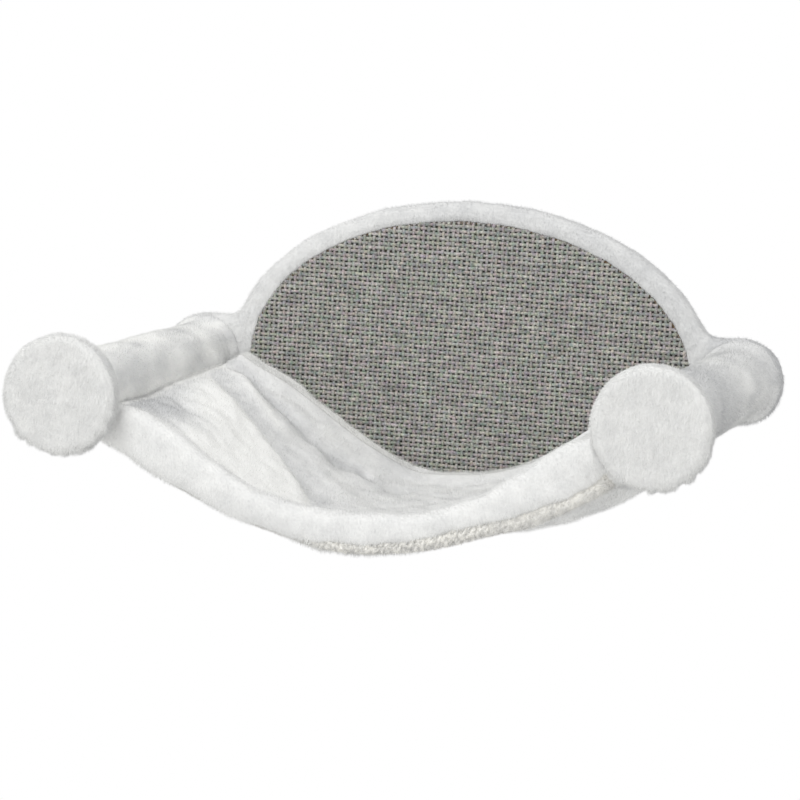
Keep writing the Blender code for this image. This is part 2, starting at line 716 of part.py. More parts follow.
def section(points, inset, half_width, half_height):
    """A rounded section as (across the roll, up) offsets, inset from the roll's surface."""
    power = 2 / ROLL_SQUARENESS
    ring = []
    for step in range(points):
        angle = math.tau * step / points
        flat, tall = math.cos(angle), math.sin(angle)
        ring.append((math.copysign(abs(flat) ** power, flat) * (half_width - inset),
                     math.copysign(abs(tall) ** power, tall) * (half_height - inset)))
    return ring


def roll_rings(bm, back, front, top_line, low_line, wraps, inset, points):
    """Sections of a roll from the left sleeve to the right one."""
    middle = (back + front) / 2
    half_depth = (front - back) / 2
    wrap_middle = (wraps[0] + wraps[1]) / 2
    half_wrap = (wraps[1] - wraps[0]) / 2
    rings = []
    for side in (-1, 0, 1):
        if side:
            ring = section(points, inset, half_depth, half_wrap * CLEAR_RADIUS)
            rings.append([bm.verts.new(on_sleeve(side, wrap_middle - up / CLEAR_RADIUS,
                                                 middle + over)) for over, up in ring])
            continue
        for number in range(-ROLL_SECTIONS, ROLL_SECTIONS + 1):
            across = LAST_SECTION_SHARE * number / ROLL_SECTIONS
            top, low = top_line(across), low_line(across)
            ring = section(points, inset, half_depth, (top - low) / 2)
            rings.append([bm.verts.new((across * HALF_SPAN, -(middle + over), (top + low) / 2 + up))
                          for over, up in ring])
    return rings


def close_on_sleeve(bm, ring):
    """Close a roll's end with strips that run along the sleeve and so follow its curve."""
    half = len(ring) // 2
    for way in (1, -1):
        for step in range(half // 2):
            corners = []
            for index in (step, step + 1, half - step - 1, half - step):
                if ring[way * index] not in corners:
                    corners.append(ring[way * index])
            bm.faces.new(corners)


def build_roll(root, name, shape, points, plush, filling):
    """A stuffed roll: a plush tube that is open at the sleeves, and the filling inside it."""
    bm = bmesh.new()
    outer = roll_rings(bm, *shape, 0, points)
    inner = roll_rings(bm, *shape, PLUSH, points)
    for rings in (outer, inner):
        for first, second in zip(rings, rings[1:]):
            bridge(bm, first, second)
    bridge(bm, outer[0], inner[0])
    bridge(bm, outer[-1], inner[-1])
    place(name, finished_mesh(name, bm, plush), root)

    bm = bmesh.new()
    rings = roll_rings(bm, *shape, PLUSH + GAP, points)
    for first, second in zip(rings, rings[1:]):
        bridge(bm, first, second)
    close_on_sleeve(bm, rings[0])
    close_on_sleeve(bm, rings[-1])
    place(name + "_filling", finished_mesh(name + "_filling", bm, filling), root)


def build_rolls(root, plush, filling):
    front = (FRONT_ROLL_BACK, FRONT_ROLL_FRONT, crest_line, front_roll_low,
             (CREST_WRAP, CREST_UNDERWRAP))
    build_roll(root, "front_roll", front, FRONT_ROLL_POINTS, plush, filling)
    rear = (REAR_ROLL_BACK, REAR_ROLL_FRONT, rear_line, rear_roll_low,
            (REAR_ROLL_WRAP, REAR_ROLL_UNDERWRAP))
    build_roll(root, "rear_roll", rear, REAR_ROLL_POINTS, plush, filling)


def build_front_seam(root, plush):
    """The upright pile where the front roll's two edges are sewn together."""
    middle = (FRONT_ROLL_FRONT + FRONT_ROLL_BACK) / 2
    bm = bmesh.new()
    rings = []
    for number in range(-ROLL_SECTIONS, ROLL_SECTIONS + 1):
        across = LAST_SECTION_SHARE * number / ROLL_SECTIONS
        low = hem_line(across)
        high = low + seam_height(across)
        edge = blend(low, high, SEAM_FOOT)
        ring = []
        for over, up in ((-0.5, high), (0.5, high), (0.5, edge), (SEAM_FOOT, low),
                         (-SEAM_FOOT, low), (-0.5, edge)):
            ring.append(bm.verts.new((across * HALF_SPAN, -(middle + over * SEAM_THICKNESS), up)))
        rings.append(ring)
    for first, second in zip(rings, rings[1:]):
        bridge(bm, first, second)
    bm.faces.new(rings[0])
    bm.faces.new(rings[-1])
    place("front_seam", finished_mesh("front_seam", bm, plush), root)


def main():
    clear_scene()
    plush = material("plush", (0.80, 0.80, 0.78), 0.95)
    sisal = material("sisal", (0.28, 0.275, 0.26), 0.9)
    fibreboard = material("fibreboard", (0.45, 0.31, 0.18), 0.75)
    cardboard = material("cardboard", (0.42, 0.29, 0.17), 0.85)
    pine = material("pine", (0.62, 0.44, 0.24), 0.65)
    steel = material("steel", (0.56, 0.56, 0.55), 0.35, 1.0)
    filling = material("filling", (0.85, 0.85, 0.85), 1.0)

    root = empty("cat_bed")
    arms = {"left": empty("arm_left", root, (-POST_X, 0, 0)),
            "right": empty("arm_right", root, (POST_X, 0, 0))}
    build_board(root, fibreboard)
    build_board_cover(root, plush)
    build_sisal(root, sisal)
    build_posts(arms, cardboard, pine, plush, steel)
    build_post_bolts(arms, steel)
    build_discs(arms, pine, plush, steel)
    build_hangers(root, steel)
    build_bowl(root, plush)
    build_rolls(root, plush, filling)
    build_front_seam(root, plush)
    bpy.context.view_layer.update()


main()
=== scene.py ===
"""A plush hammock bed for a cat, hung on a wall by its oval board.

The cloth, its pile, the woven mat and the fittings are made round the bed's solids, in metres.
X runs across the bed, the wall is the plane y = 0 and the posts point along -Y.
Depths are measured out from the wall, so a piece at depth d lies at y = -d.
"""

import math
import random

import bmesh
import bpy
from mathutils import Matrix, Vector, noise


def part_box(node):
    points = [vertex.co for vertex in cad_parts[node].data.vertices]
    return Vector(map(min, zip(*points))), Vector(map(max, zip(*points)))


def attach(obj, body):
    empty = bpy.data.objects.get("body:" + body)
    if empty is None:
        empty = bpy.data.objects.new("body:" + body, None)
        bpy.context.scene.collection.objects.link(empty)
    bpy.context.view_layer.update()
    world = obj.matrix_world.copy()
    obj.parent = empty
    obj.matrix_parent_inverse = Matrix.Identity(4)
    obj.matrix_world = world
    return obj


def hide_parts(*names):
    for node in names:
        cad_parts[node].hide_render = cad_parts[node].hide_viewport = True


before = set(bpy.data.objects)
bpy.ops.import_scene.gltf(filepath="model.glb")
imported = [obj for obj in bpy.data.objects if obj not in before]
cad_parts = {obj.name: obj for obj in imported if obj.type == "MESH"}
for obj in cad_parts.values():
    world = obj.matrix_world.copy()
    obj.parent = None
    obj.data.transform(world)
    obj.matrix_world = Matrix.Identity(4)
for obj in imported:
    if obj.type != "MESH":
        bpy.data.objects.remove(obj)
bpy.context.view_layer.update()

bl_info = {
    "name": "Plush Wall Bed",
    "version": (1, 0, 0),
    "blender": (4, 5, 0),
    "location": "3D View > Sidebar > Cat Bed",
    "description": "Makes the plush, the woven mat and the fittings of a wall-mounted cat bed",
    "category": "Object",
}

GAP = 0.0003            # left between two pieces that touch
WELD = 0.00001          # points nearer than this are one point

# Sizes read from the solids
sleeve_low, sleeve_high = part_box("arm_sleeve_right")
POST_X = (sleeve_low.x + sleeve_high.x) / 2
SLEEVE_RADIUS = (sleeve_high.x - sleeve_low.x) / 2
POST_START = -sleeve_high.y
POST_END = -sleeve_low.y
disc_low, disc_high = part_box("disc_cover_right")
DISC_RADIUS = (disc_high.x - disc_low.x) / 2
DISC_BACK = -disc_high.y
DISC_FACE = -disc_low.y
mat_low, mat_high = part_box("sisal_mat")
SISAL_X = (mat_low.x + mat_high.x) / 2
SISAL_Z = (mat_low.z + mat_high.z) / 2
SISAL_BACK = -mat_high.y
SISAL_FACE = -mat_low.y
board_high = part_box("back_board")[1]
BOARD_HALF_HEIGHT = board_high.z
EAR_RADIUS = board_high.x - POST_X
cover_low, cover_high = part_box("board_cover")
COVER_GROW = cover_high.z - BOARD_HALF_HEIGHT
COVER_FACE = -cover_low.y

# Sizes that the solids don't give on their own
BOARD_HALF_WIDTH = 0.2000
SISAL_HALF_WIDTH = BOARD_HALF_WIDTH - 0.0150
SISAL_HALF_HEIGHT = BOARD_HALF_HEIGHT - 0.0101
SISAL_TUCK = 0.0105     # of the mat's lower edge under the plush
SISAL_TURN = math.radians(-1.7)
PILE_REACH = 0.0014     # how far the pile stands out from its woven ground
PLUSH = 0.0035          # plush with its pile
BOARD_EDGE = 0.0080     # rounding of the padded edge
SHOULDER_TURN = 0.10    # where the arch leaves its oval for an ear, past their meeting point
SHOULDER_REACH = 0.012  # how far past it the arch meets the ear's top
SHOULDER_STEPS = 18
HEM = 0.0025            # plush turned over the back of the board
HEM_WIDTH = 0.016

# Hammock lines, as heights over the post axes at mid span and at the posts, with their power
CREST = (-0.0775, -0.0080, 1.7)
HEM_LINE = (-0.1115, -0.0440, 1.8)
REAR = (-0.0815, 0.0020, 1.2)
REAR_HEIGHT = 0.024
SEAM_HEIGHT = 0.007
FRONT_ROLL_DEPTH = 0.028
REAR_ROLL_DEPTH = 0.020
LAST_SECTION_SHARE = 0.93
CLOTH = 0.0035
FRONT_TUCK = 0.006
REAR_TUCK = 0.0035
BELLY = 0.012
REAR_WRAP = math.radians(6)
FRONT_WRAP = math.radians(24)
CREST_WRAPS = (math.radians(16), math.radians(84))
REAR_ROLL_WRAPS = (math.radians(4), math.radians(52))

# Folds of the bowl: each follows a path of places, as shares across and out, with its depth and
# its half widths on the side of the front left corner and on the other. The first three are the
# long fold on the left, its valley and its ridge.
FOLD_END_SHARE = 0.08
FOLDS = (
    (((-0.98, 0.22), (-0.84, 0.34), (-0.69, 0.42), (-0.51, 0.50), (-0.38, 0.62), (-0.27, 0.82)),
     0.0075, 0.0060, 0.0240),
    (((-0.98, 0.01), (-0.84, 0.09), (-0.74, 0.145), (-0.63, 0.17), (-0.53, 0.21), (-0.40, 0.19)),
     0.0085, 0.0085, 0.0095),
    (((-0.98, 0.08), (-0.80, 0.20), (-0.70, 0.27), (-0.64, 0.31)), -0.0035, 0.0085, 0.0085),
    (((0.98, 0.26), (0.70, 0.50), (0.36, 0.74)), 0.0080, 0.0110, 0.0160),
    (((0.98, 0.04), (0.72, 0.16), (0.44, 0.24)), 0.0090, 0.0100, 0.0100),
)
DIMPLES = (
    (((-0.46, 0.235), (-0.41, 0.225)), 0.0035, 0.0060, 0.0060),
    (((-0.335, 0.165), (-0.29, 0.19)), 0.0075, 0.0060, 0.0060),
    (((-0.22, 0.24), (-0.13, 0.15)), 0.0030, 0.0080, 0.0080),
    (((-0.06, 0.19), (0.10, 0.24)), 0.0022, 0.0050, 0.0050),
    (((-0.93, 0.66), (-0.81, 0.75), (-0.77, 0.74)), 0.0025, 0.0050, 0.0050),
)

# The tufted hem under the front roll: share across, its lower edge over the hem line, its height
TUFTED_HEM = (
    (-1.00, 0.0050, 0.0045), (-0.60, 0.0042, 0.0045), (-0.30, 0.0034, 0.0050),
    (-0.05, 0.0030, 0.0080), (0.11, 0.0026, 0.0076), (0.28, 0.0019, 0.0104),
    (0.40, 0.0014, 0.0122), (0.52, 0.0010, 0.0108), (0.70, -0.0034, 0.0128),
    (0.85, -0.0034, 0.0110), (1.00, -0.0030, 0.0105),
)

# Sizes that follow
SLEEVE_GROUND = SLEEVE_RADIUS - 0.7 * PILE_REACH
CLEAR_RADIUS = SLEEVE_GROUND + GAP
HALF_SPAN = POST_X - SLEEVE_RADIUS
REAR_ROLL_BACK = SISAL_FACE + GAP
REAR_ROLL_FRONT = REAR_ROLL_BACK + REAR_ROLL_DEPTH
FRONT_ROLL_FRONT = POST_END - GAP
FRONT_ROLL_BACK = FRONT_ROLL_FRONT - FRONT_ROLL_DEPTH
BOWL_REAR = REAR_ROLL_FRONT + GAP
BOWL_FRONT = FRONT_ROLL_BACK - GAP
BOWL_DEPTH = BOWL_FRONT - BOWL_REAR


def amount(name, description, low, high, default, **kind):
    return bpy.props.FloatProperty(name=name, description=description, min=low, max=high,
                                   default=default, **kind)


def tone(name, description, default):
    return bpy.props.FloatVectorProperty(name=name, description=description, subtype="COLOR",
                                         size=3, min=0, max=1, default=default)


class PlushSettings(bpy.types.PropertyGroup):
    colour: tone("Colour", "Tips of the pile", (0.93, 0.93, 0.915))
    # Shade is the colour the pile takes where the painted shade and the darker random patches are
    # deepest.
    shade: tone("Shade", "Where the pile is parted or crushed", (0.60, 0.605, 0.61))
    length: amount("Pile length", "Length of a tuft", 0.0005, 0.01, 0.0026, unit="LENGTH")
    width: amount("Tuft width", "Width of a tuft at its root", 0.00005, 0.001, 0.00026,
                  unit="LENGTH")
    density: amount("Density", "Tufts on a square millimetre", 0.1, 4, 1.0)
    crush: amount("Crush", "How far the pile is pushed about", 0, 3, 1.1)


class SisalSettings(bpy.types.PropertyGroup):
    colour: tone("Colour", "Yarn", (0.375, 0.37, 0.345))
    backing: tone("Backing", "Latex behind the yarns", (0.15, 0.145, 0.13))
    pitch_across: amount("Pitch across", "From one upright yarn to the next", 0.002, 0.01,
                         0.00415, unit="LENGTH")
    pitch_up: amount("Pitch up", "From one level yarn to the next", 0.002, 0.01, 0.00368,
                     unit="LENGTH")
    warp: amount("Upright yarn", "Radius of an upright yarn", 0.0005, 0.003, 0.00125,
                 unit="LENGTH")
    weft: amount("Level yarn", "Radius of a level yarn", 0.0005, 0.003, 0.0014, unit="LENGTH")
    hairs: bpy.props.IntProperty(
        name="Hairs", description="Stray fibres that stand off the weave", min=0, max=5000,
        default=1100)


class HammockSettings(bpy.types.PropertyGroup):
    wrinkle: amount("Wrinkles", "Height of the cloth's small wrinkles", 0, 0.01, 0.0016,
                    unit="LENGTH")


class FittingSettings(bpy.types.PropertyGroup):
    zinc: tone("Zinc", "Plated steel", (0.62, 0.62, 0.60))
    board: tone("Board", "Raw fibreboard", (0.45, 0.31, 0.18))


class StageSettings(bpy.types.PropertyGroup):
    floor_drop: amount("Floor", "How far the floor lies under the posts", 0.2, 3, 0.62,
                       unit="LENGTH")
    sky: amount("Room light", "Even light from all round", 0, 2, 0.74)
    key: amount("Soft box", "Power of the large lamp above the front", 0, 500, 37,
                subtype="POWER")


# Shapes

def blend(first, second, share):
    return first + (second - first) * share


def ease(share):
    """Share from 0 to 1 with level ends."""
    share = min(max(share, 0), 1)
    return share * share * (3 - 2 * share)


def bump(value, middle, reach):
    """A smooth bump: 1 in its middle, nearly 0 at twice its reach."""
    return math.exp(-((value - middle) / reach) ** 2)


def folded(turn, power):
    """The cosine and sine of a turn, squared off by a power under 1."""
    return [math.copysign(abs(part) ** power, part) for part in (math.cos(turn), math.sin(turn))]


def wave(spot, size, seed):
    """Smooth noise from about -1 to 1, with bumps of the given size."""
    return noise.noise(Vector(spot) / size + Vector((seed * 1.7, seed * 3.1, seed * 5.3)))


def hang(across, low, end, power):
    rise = (1 - math.cos(math.pi * min(abs(across), 1))) / 2
    return low + (end - low) * rise ** power


def crest_line(across):
    return hang(across, *CREST)


def rear_sag(across):
    """How far the rear edge hangs under its even line, most of all on the right."""
    sag = 0.0065 * bump(across, 0.58, 0.25) + 0.0025 * bump(across, -0.15, 0.10)
    return sag + 0.0010 * ease((0.9 - abs(across)) / 0.1)


def rear_line(across):
    """The top of the rear edge, which puffs up where it is sewn to the sleeves."""
    return hang(across, *REAR) + 0.0042 * bump(abs(across), 0.93, 0.045) - rear_sag(across)


def rear_roll_low(across):
    return rear_line(across) - REAR_HEIGHT


def tufted_hem(across):
    """The lower and upper edge of the hem's tufts."""
    for first, last in zip(TUFTED_HEM, TUFTED_HEM[1:]):
        if across <= last[0]:
            break
    share = ease((across - first[0]) / (last[0] - first[0]))
    middle, end, power = HEM_LINE
    low = middle + (end - middle) * abs(across) ** power + blend(first[1], last[1], share)
    high = low + blend(first[2], last[2], share)
    spot = (across * HALF_SPAN, 0, 0)
    high += 0.0013 * wave(spot, 0.017, 90) + 0.0008 * wave(spot, 0.0045, 91)
    return low + 0.0007 * wave(spot, 0.004, 92), high


def tufty(across):
    """0 where the hem is hidden under the roll, 1 where its tufts show."""
    return ease((across + 0.34) / 0.26)


def front_roll_low(across):
    low, high = tufted_hem(across)
    return blend(low + 0.0012, high - 0.0056, tufty(across))


def on_bowl(shares):
    """Places on the bowl in metres, from their shares across and out."""
    return [Vector((across * HALF_SPAN, out * BOWL_DEPTH)) for across, out in shares]


def place_on_path(spot, path):
    """How far a spot lies from a path, to which side of it, and how far along it."""
    length = sum((head - tail).length for tail, head in zip(path, path[1:]))
    found = []
    gone = 0
    for tail, head in zip(path, path[1:]):
        run = head - tail
        share = min(max((spot - tail).dot(run) / run.length_squared, 0), 1)
        off = spot - (tail + run * share)
        side = run.cross(off) / (run.length * off.length) if off.length else 0
        found.append((off.length, side, (gone + run.length * share) / length))
        gone += run.length
    return min(found)


def fold_drop(across, out):
    """How far the folds lower the bowl at a place given in shares."""
    spot, = on_bowl([(across, out)])
    drop = 0
    for path, deep, near, far in FOLDS + DIMPLES:
        away, side, along = place_on_path(spot, on_bowl(path))
        reach = blend(far, near, (1 + side) / 2)
        if away > 3 * reach:
            continue
        end = min(max(along, FOLD_END_SHARE), 1 - FOLD_END_SHARE)
        drop += deep * math.sqrt(math.sin(math.pi * end)) * bump(away, 0, reach)
    return drop


def sewn_wrap(out):
    """How far round the sleeve the bowl is sewn on, and how much of that is slack in front."""
    slack = math.radians(6) * bump(out, 0.72, 0.15)
    return blend(REAR_WRAP, FRONT_WRAP, out) + slack, slack


def bowl_height(across, out):
    low = blend(REAR[0] - REAR_TUCK, CREST[0] - FRONT_TUCK, out) - BELLY * 4 * out * (1 - out)
    end = -SLEEVE_RADIUS * math.sin(blend(REAR_WRAP, FRONT_WRAP, out))
    calm = math.sqrt(math.sin(math.pi * out)) if 0 < out < 1 else 0
    height = hang(across, low, end, blend(REAR[2], CREST[2], out))
    height -= fold_drop(across, out) * calm
    wrap, slack = sewn_wrap(out)
    sag = SLEEVE_RADIUS * (math.sin(wrap) - math.sin(wrap - slack))
    height -= sag * ease((abs(across) - 0.70) / 0.22) + rear_sag(across) * (1 - out) ** 2
    return blend(height, rear_line(across) + 0.0002, ease(1 - out / 0.08))


def bowl_nap_and_painted_light(across, out):
    """How bright the bowl's pile is painted: brighter in front of the long fold, with painted shade
    behind it, in its valley, in the dimples and near the sleeves, and a painted highlight on its
    ridge.
    """
    spot, dark = on_bowl([(across, out), (-0.84, 0.82)])
    (edge_away, edge_side, _), (valley_away, *_), (ridge_away, *_) = (
        place_on_path(spot, on_bowl(path)) for path, *_ in FOLDS[:3])
    patchy = 0.16 * wave((*spot, 0), 0.012, 81) + 0.10 * wave((*spot, 0), 0.005, 82)
    # Painted shade behind the long fold's edge.
    behind = blend(0.31, 0.61, ease(edge_away / 0.045)) + patchy
    sewn_away = (1 - abs(across)) * HALF_SPAN
    # Painted shade near the seams at the sleeves, rising to the bright panel.
    seam_shade_ramp = blend(0.15, 1.02, ease((sewn_away + 0.25 * (1 - out) * BOWL_DEPTH - 0.017) / 0.050))
    crisp = ease(0.5 + edge_side * edge_away / 0.003) if across < 0.1 else 0
    nap_and_painted_light = blend(behind, seam_shade_ramp + 0.6 * patchy, crisp * ease((0.15 - across) / 0.25))
    # Painted highlight on the long fold's ridge, painted shade in its valley.
    nap_and_painted_light += 0.38 * bump(ridge_away, 0, 0.0065) - 0.48 * bump(valley_away, 0, 0.0095)
    # Painted light along the sewn edge at the sleeves, against the shade of the crease.
    nap_and_painted_light += (0.75 + 0.9 * wave((0, spot.y, 0), 0.011, 83)) * bump(sewn_away, 0, 0.0035)
    # Painted shade at a spot near the front left.
    nap_and_painted_light -= 0.50 * bump((spot - dark).length, 0, 0.026)
    # Painted shade in the dimples.
    for path, deep, near, _ in DIMPLES:
        nap_and_painted_light -= 60 * deep * bump(place_on_path(spot, on_bowl(path))[0], 0, near)
    nap_and_painted_light = blend(nap_and_painted_light, 0.75, ease(1 - out / 0.05))
    # Painted shade at a spot near the rear, left of the middle.
    return nap_and_painted_light - 0.4 * bump(across, -0.24, 0.08) * bump(out, 0, 0.10)


def on_sleeve(side, wrap, depth):
    return Vector((side * (POST_X - CLEAR_RADIUS * math.cos(wrap)), -depth,
                   -CLEAR_RADIUS * math.sin(wrap)))


def from_post(spot, sign):
    """The way from a post's axis to a spot."""
    return Vector((spot.x - sign * POST_X, 0, spot.z))


def oval(half_width, half_height, angle):
    return Vector((half_width * math.cos(angle), half_height * math.sin(angle)))


def board_outline(grow, arch_steps, ear_steps):
    """The board's oval with its two round ears, offset outwards by grow, as (x, z) points."""
    half_width = BOARD_HALF_WIDTH + grow
    half_height = BOARD_HALF_HEIGHT + grow
    ear = EAR_RADIUS + grow
    corner = math.asin(ear / half_height)
    first = corner + SHOULDER_TURN
    foot = Vector((-half_width * math.cos(corner), ear))
    top = oval(half_width, half_height, math.pi - first)
    toe = foot - Vector((SHOULDER_REACH, 0))
    shoulder = []
    for step in range(1, SHOULDER_STEPS):
        share = 1.5 * step / SHOULDER_STEPS
        if share <= 1:
            shoulder.append(top.lerp(foot, share).lerp(foot.lerp(toe, share), share))
        else:
            shoulder.append(toe.lerp(Vector((-POST_X, ear)), 2 * (share - 1)))
    half = [Vector((-spot.x, spot.y)) for spot in reversed(shoulder)]
    half += [oval(half_width, half_height, first + (math.pi - 2 * first) * step / arch_steps)
             for step in range(arch_steps + 1)]
    half += shoulder
    half += [oval(ear, ear, math.pi / 2 + math.pi * step / ear_steps) - Vector((POST_X, 0))
             for step in range(ear_steps + 1)]
    return [spot * end for end in (1, -1) for spot in half]


def mat_reach(z):
    """The mat's half height above its middle, or below it."""
    return SISAL_HALF_HEIGHT - (SISAL_TUCK if z < 0 else 0)


def on_mat(x, z):
    """Where a place on the mat lies on the bed."""
    return Matrix.Rotation(SISAL_TURN, 2) @ Vector((x, z)) + Vector((SISAL_X, SISAL_Z))


def sisal_outline(grow, arch_steps, ear_steps):
    """The mat's oval, with its points facing those of the board's outline."""
    first = math.asin(EAR_RADIUS / BOARD_HALF_HEIGHT) + SHOULDER_TURN
    last = 0.4 * first
    shoulder = [blend(last, first, step / SHOULDER_STEPS) for step in range(1, SHOULDER_STEPS)]
    angles = shoulder + [first + (math.pi - 2 * first) * step / arch_steps
                         for step in range(arch_steps + 1)]
    angles += [math.pi - angle for angle in reversed(shoulder)]
    angles += [math.pi + last * (2 * step / ear_steps - 1) for step in range(ear_steps + 1)]
    return [on_mat(end * (SISAL_HALF_WIDTH + grow) * math.cos(angle),
                   end * (mat_reach(end * math.sin(angle)) + grow) * math.sin(angle))
            for end in (1, -1) for angle in angles]


# Meshes

def mapped_grid(columns, rows, place):
    """A grid whose points are set by place(share, share), welded where it meets and capped."""
    bm = bmesh.new()
    bm.loops.layers.uv.new("UVMap")
    bmesh.ops.create_grid(bm, x_segments=columns, y_segments=rows, size=0.5, calc_uvs=True)
    for vert in bm.verts:
        vert.co = place(vert.co.x + 0.5, vert.co.y + 0.5)
    bmesh.ops.remove_doubles(bm, verts=bm.verts, dist=WELD)
    return bm


def tube(columns, around, place):
    """A grid that meets itself all round, with its two ends filled."""
    bm = mapped_grid(columns, around, place)
    ends = [edge for edge in bm.edges if edge.is_boundary]
    bmesh.ops.holes_fill(bm, edges=ends, sides=0)
    bmesh.ops.recalc_face_normals(bm, faces=bm.faces)
    return bm


def turned(profile, steps):
    """Turn a closed ring, or a line that ends on the axis, of (radius, depth) points."""
    bm = bmesh.new()
    points = [bm.verts.new((radius, -depth, 0)) for radius, depth in profile]
    edges = [bm.edges.new(pair) for pair in zip(points, points[1:])]
    if profile[0][0] > WELD:
        edges.append(bm.edges.new((points[-1], points[0])))
    bmesh.ops.spin(bm, geom=points + edges, cent=(0, 0, 0), axis=(0, 1, 0),
                   angle=math.tau, steps=steps, use_merge=True)
    bmesh.ops.remove_doubles(bm, verts=bm.verts, dist=WELD)
    bmesh.ops.recalc_face_normals(bm, faces=bm.faces)
    return bm


def arc(middle, radius, start, end, steps):
    """Points on an arc in a (radius, depth) profile."""
    angles = [start + (end - start) * step / steps for step in range(steps + 1)]
    return [(middle[0] + radius * math.cos(angle), middle[1] + radius * math.sin(angle))
            for angle in angles]


def straight(first, last, steps):
    """Points between two profile points, without the first and the last."""
    return [(blend(first[0], last[0], step / steps), blend(first[1], last[1], step / steps))
            for step in range(1, steps)]


def ruffle(bm, seed, layers, share=lambda spot: 1, drawn=(1, 1, 1)):
    """Push the points in and out by layers of (height, size) noise, drawn out by axis."""
    bm.normal_update()
    moved = []
    for vert in bm.verts:
        keep = share(vert.co)
        spot = Vector(own / far for own, far in zip(vert.co, drawn))
        push = sum(height * wave(spot, size, seed + number)
                   for number, (height, size) in enumerate(layers)) if keep else 0
        moved.append(vert.co + vert.normal * push * keep)
    for vert, spot in zip(bm.verts, moved):
        vert.co = spot


def mark_pile(bm, share=lambda spot, normal: 1, tall=lambda spot: 1, nap_and_painted_light=lambda spot: 0.75):
    """Write where pile grows, how tall it is, and how bright it is painted, with painted light and
    shade over random patches, each from 0 to 1.
    """
    bm.normal_update()
    layers = [bm.verts.layers.float.new(name) for name in ("pile", "tall", "nap_and_painted_light")]
    for vert in bm.verts:
        vert[layers[0]] = share(vert.co, vert.normal)
        vert[layers[1]] = tall(vert.co)
        vert[layers[2]] = nap_and_painted_light(vert.co)


def linked(name, data):
    made = bpy.data.objects.new(name, data)
    bpy.context.scene.collection.objects.link(made)
    return made


def made_object(name, mesh, surface):
    mesh.name = name
    mesh.materials.clear()
    mesh.materials.append(surface)
    mesh.shade_smooth()
    return linked(name, mesh)


def riding(name, mesh, surface):
    """Keep a mesh as a piece that rides on the bed."""
    made = made_object(name, mesh, surface)
    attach(made, "root")
    return made


def finished(name, bm, surface, replaced):
    """Write a bmesh as a piece that stands for some of the solids."""
    mesh = bpy.data.meshes.new(name)
    bm.to_mesh(mesh)
    bm.free()
    made = riding(name, mesh, surface)
    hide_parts(*replaced)
    return made


def thicken(piece, thickness):
    wall = piece.modifiers.new("Wall", "SOLIDIFY")
    wall.thickness = thickness
    wall.offset = -1
    wall.use_even_offset = False


def applied(made):
    """The mesh that an object's modifiers give, in place of the object."""
    bpy.context.view_layer.update()
    graph = bpy.context.evaluated_depsgraph_get()
    mesh = bpy.data.meshes.new_from_object(made.evaluated_get(graph))
    bpy.data.objects.remove(made, do_unlink=True)
    return mesh


# Nodes

def sockets(tree, way, kinds):
    """Give a node group its sockets on one side, from their kinds by name."""
    return [tree.interface.new_socket(name, in_out=way, socket_type="NodeSocket" + kind)
            for name, kind in kinds.items()]


def node(tree, kind, given=None, **settings):
    """A new node with its settings, and with its inputs set or linked by name or number."""
    made = tree.nodes.new(kind)
    for name, value in settings.items():
        setattr(made, name, value)
    for name, value in (given or {}).items():
        if isinstance(value, bpy.types.NodeSocket):
            tree.links.new(value, made.inputs[name])
        else:
            made.inputs[name].default_value = value
    return made


def math_node(tree, operation, *values, kind="ShaderNodeMath"):
    return node(tree, kind, dict(enumerate(values)), operation=operation).outputs[0]


def vector_node(tree, operation, *values):
    return math_node(tree, operation, *values, kind="ShaderNodeVectorMath")


def texture(tree, place, scale, detail, roughness=0.5, output="Fac"):
    return node(tree, "ShaderNodeTexNoise", {"Vector": place, "Scale": scale, "Detail": detail,
                                             "Roughness": roughness}).outputs[output]


def ranged(tree, value, low, high, new_low, new_high):
    return node(tree, "ShaderNodeMapRange", {
        "Value": value, "From Min": low, "From Max": high, "To Min": new_low, "To Max": new_high,
    }).outputs["Result"]


def mixed(tree, share, first, second, blend_type="MIX"):
    made = node(tree, "ShaderNodeMix", data_type="RGBA", blend_type=blend_type)
    for name, value in (("Factor_Float", share), ("A_Color", first), ("B_Color", second)):
        socket = next(item for item in made.inputs if item.identifier == name)
        if isinstance(value, bpy.types.NodeSocket):
            tree.links.new(value, socket)
        else:
            socket.default_value = value
    return next(item for item in made.outputs if item.identifier == "Result_Color")


# Pile

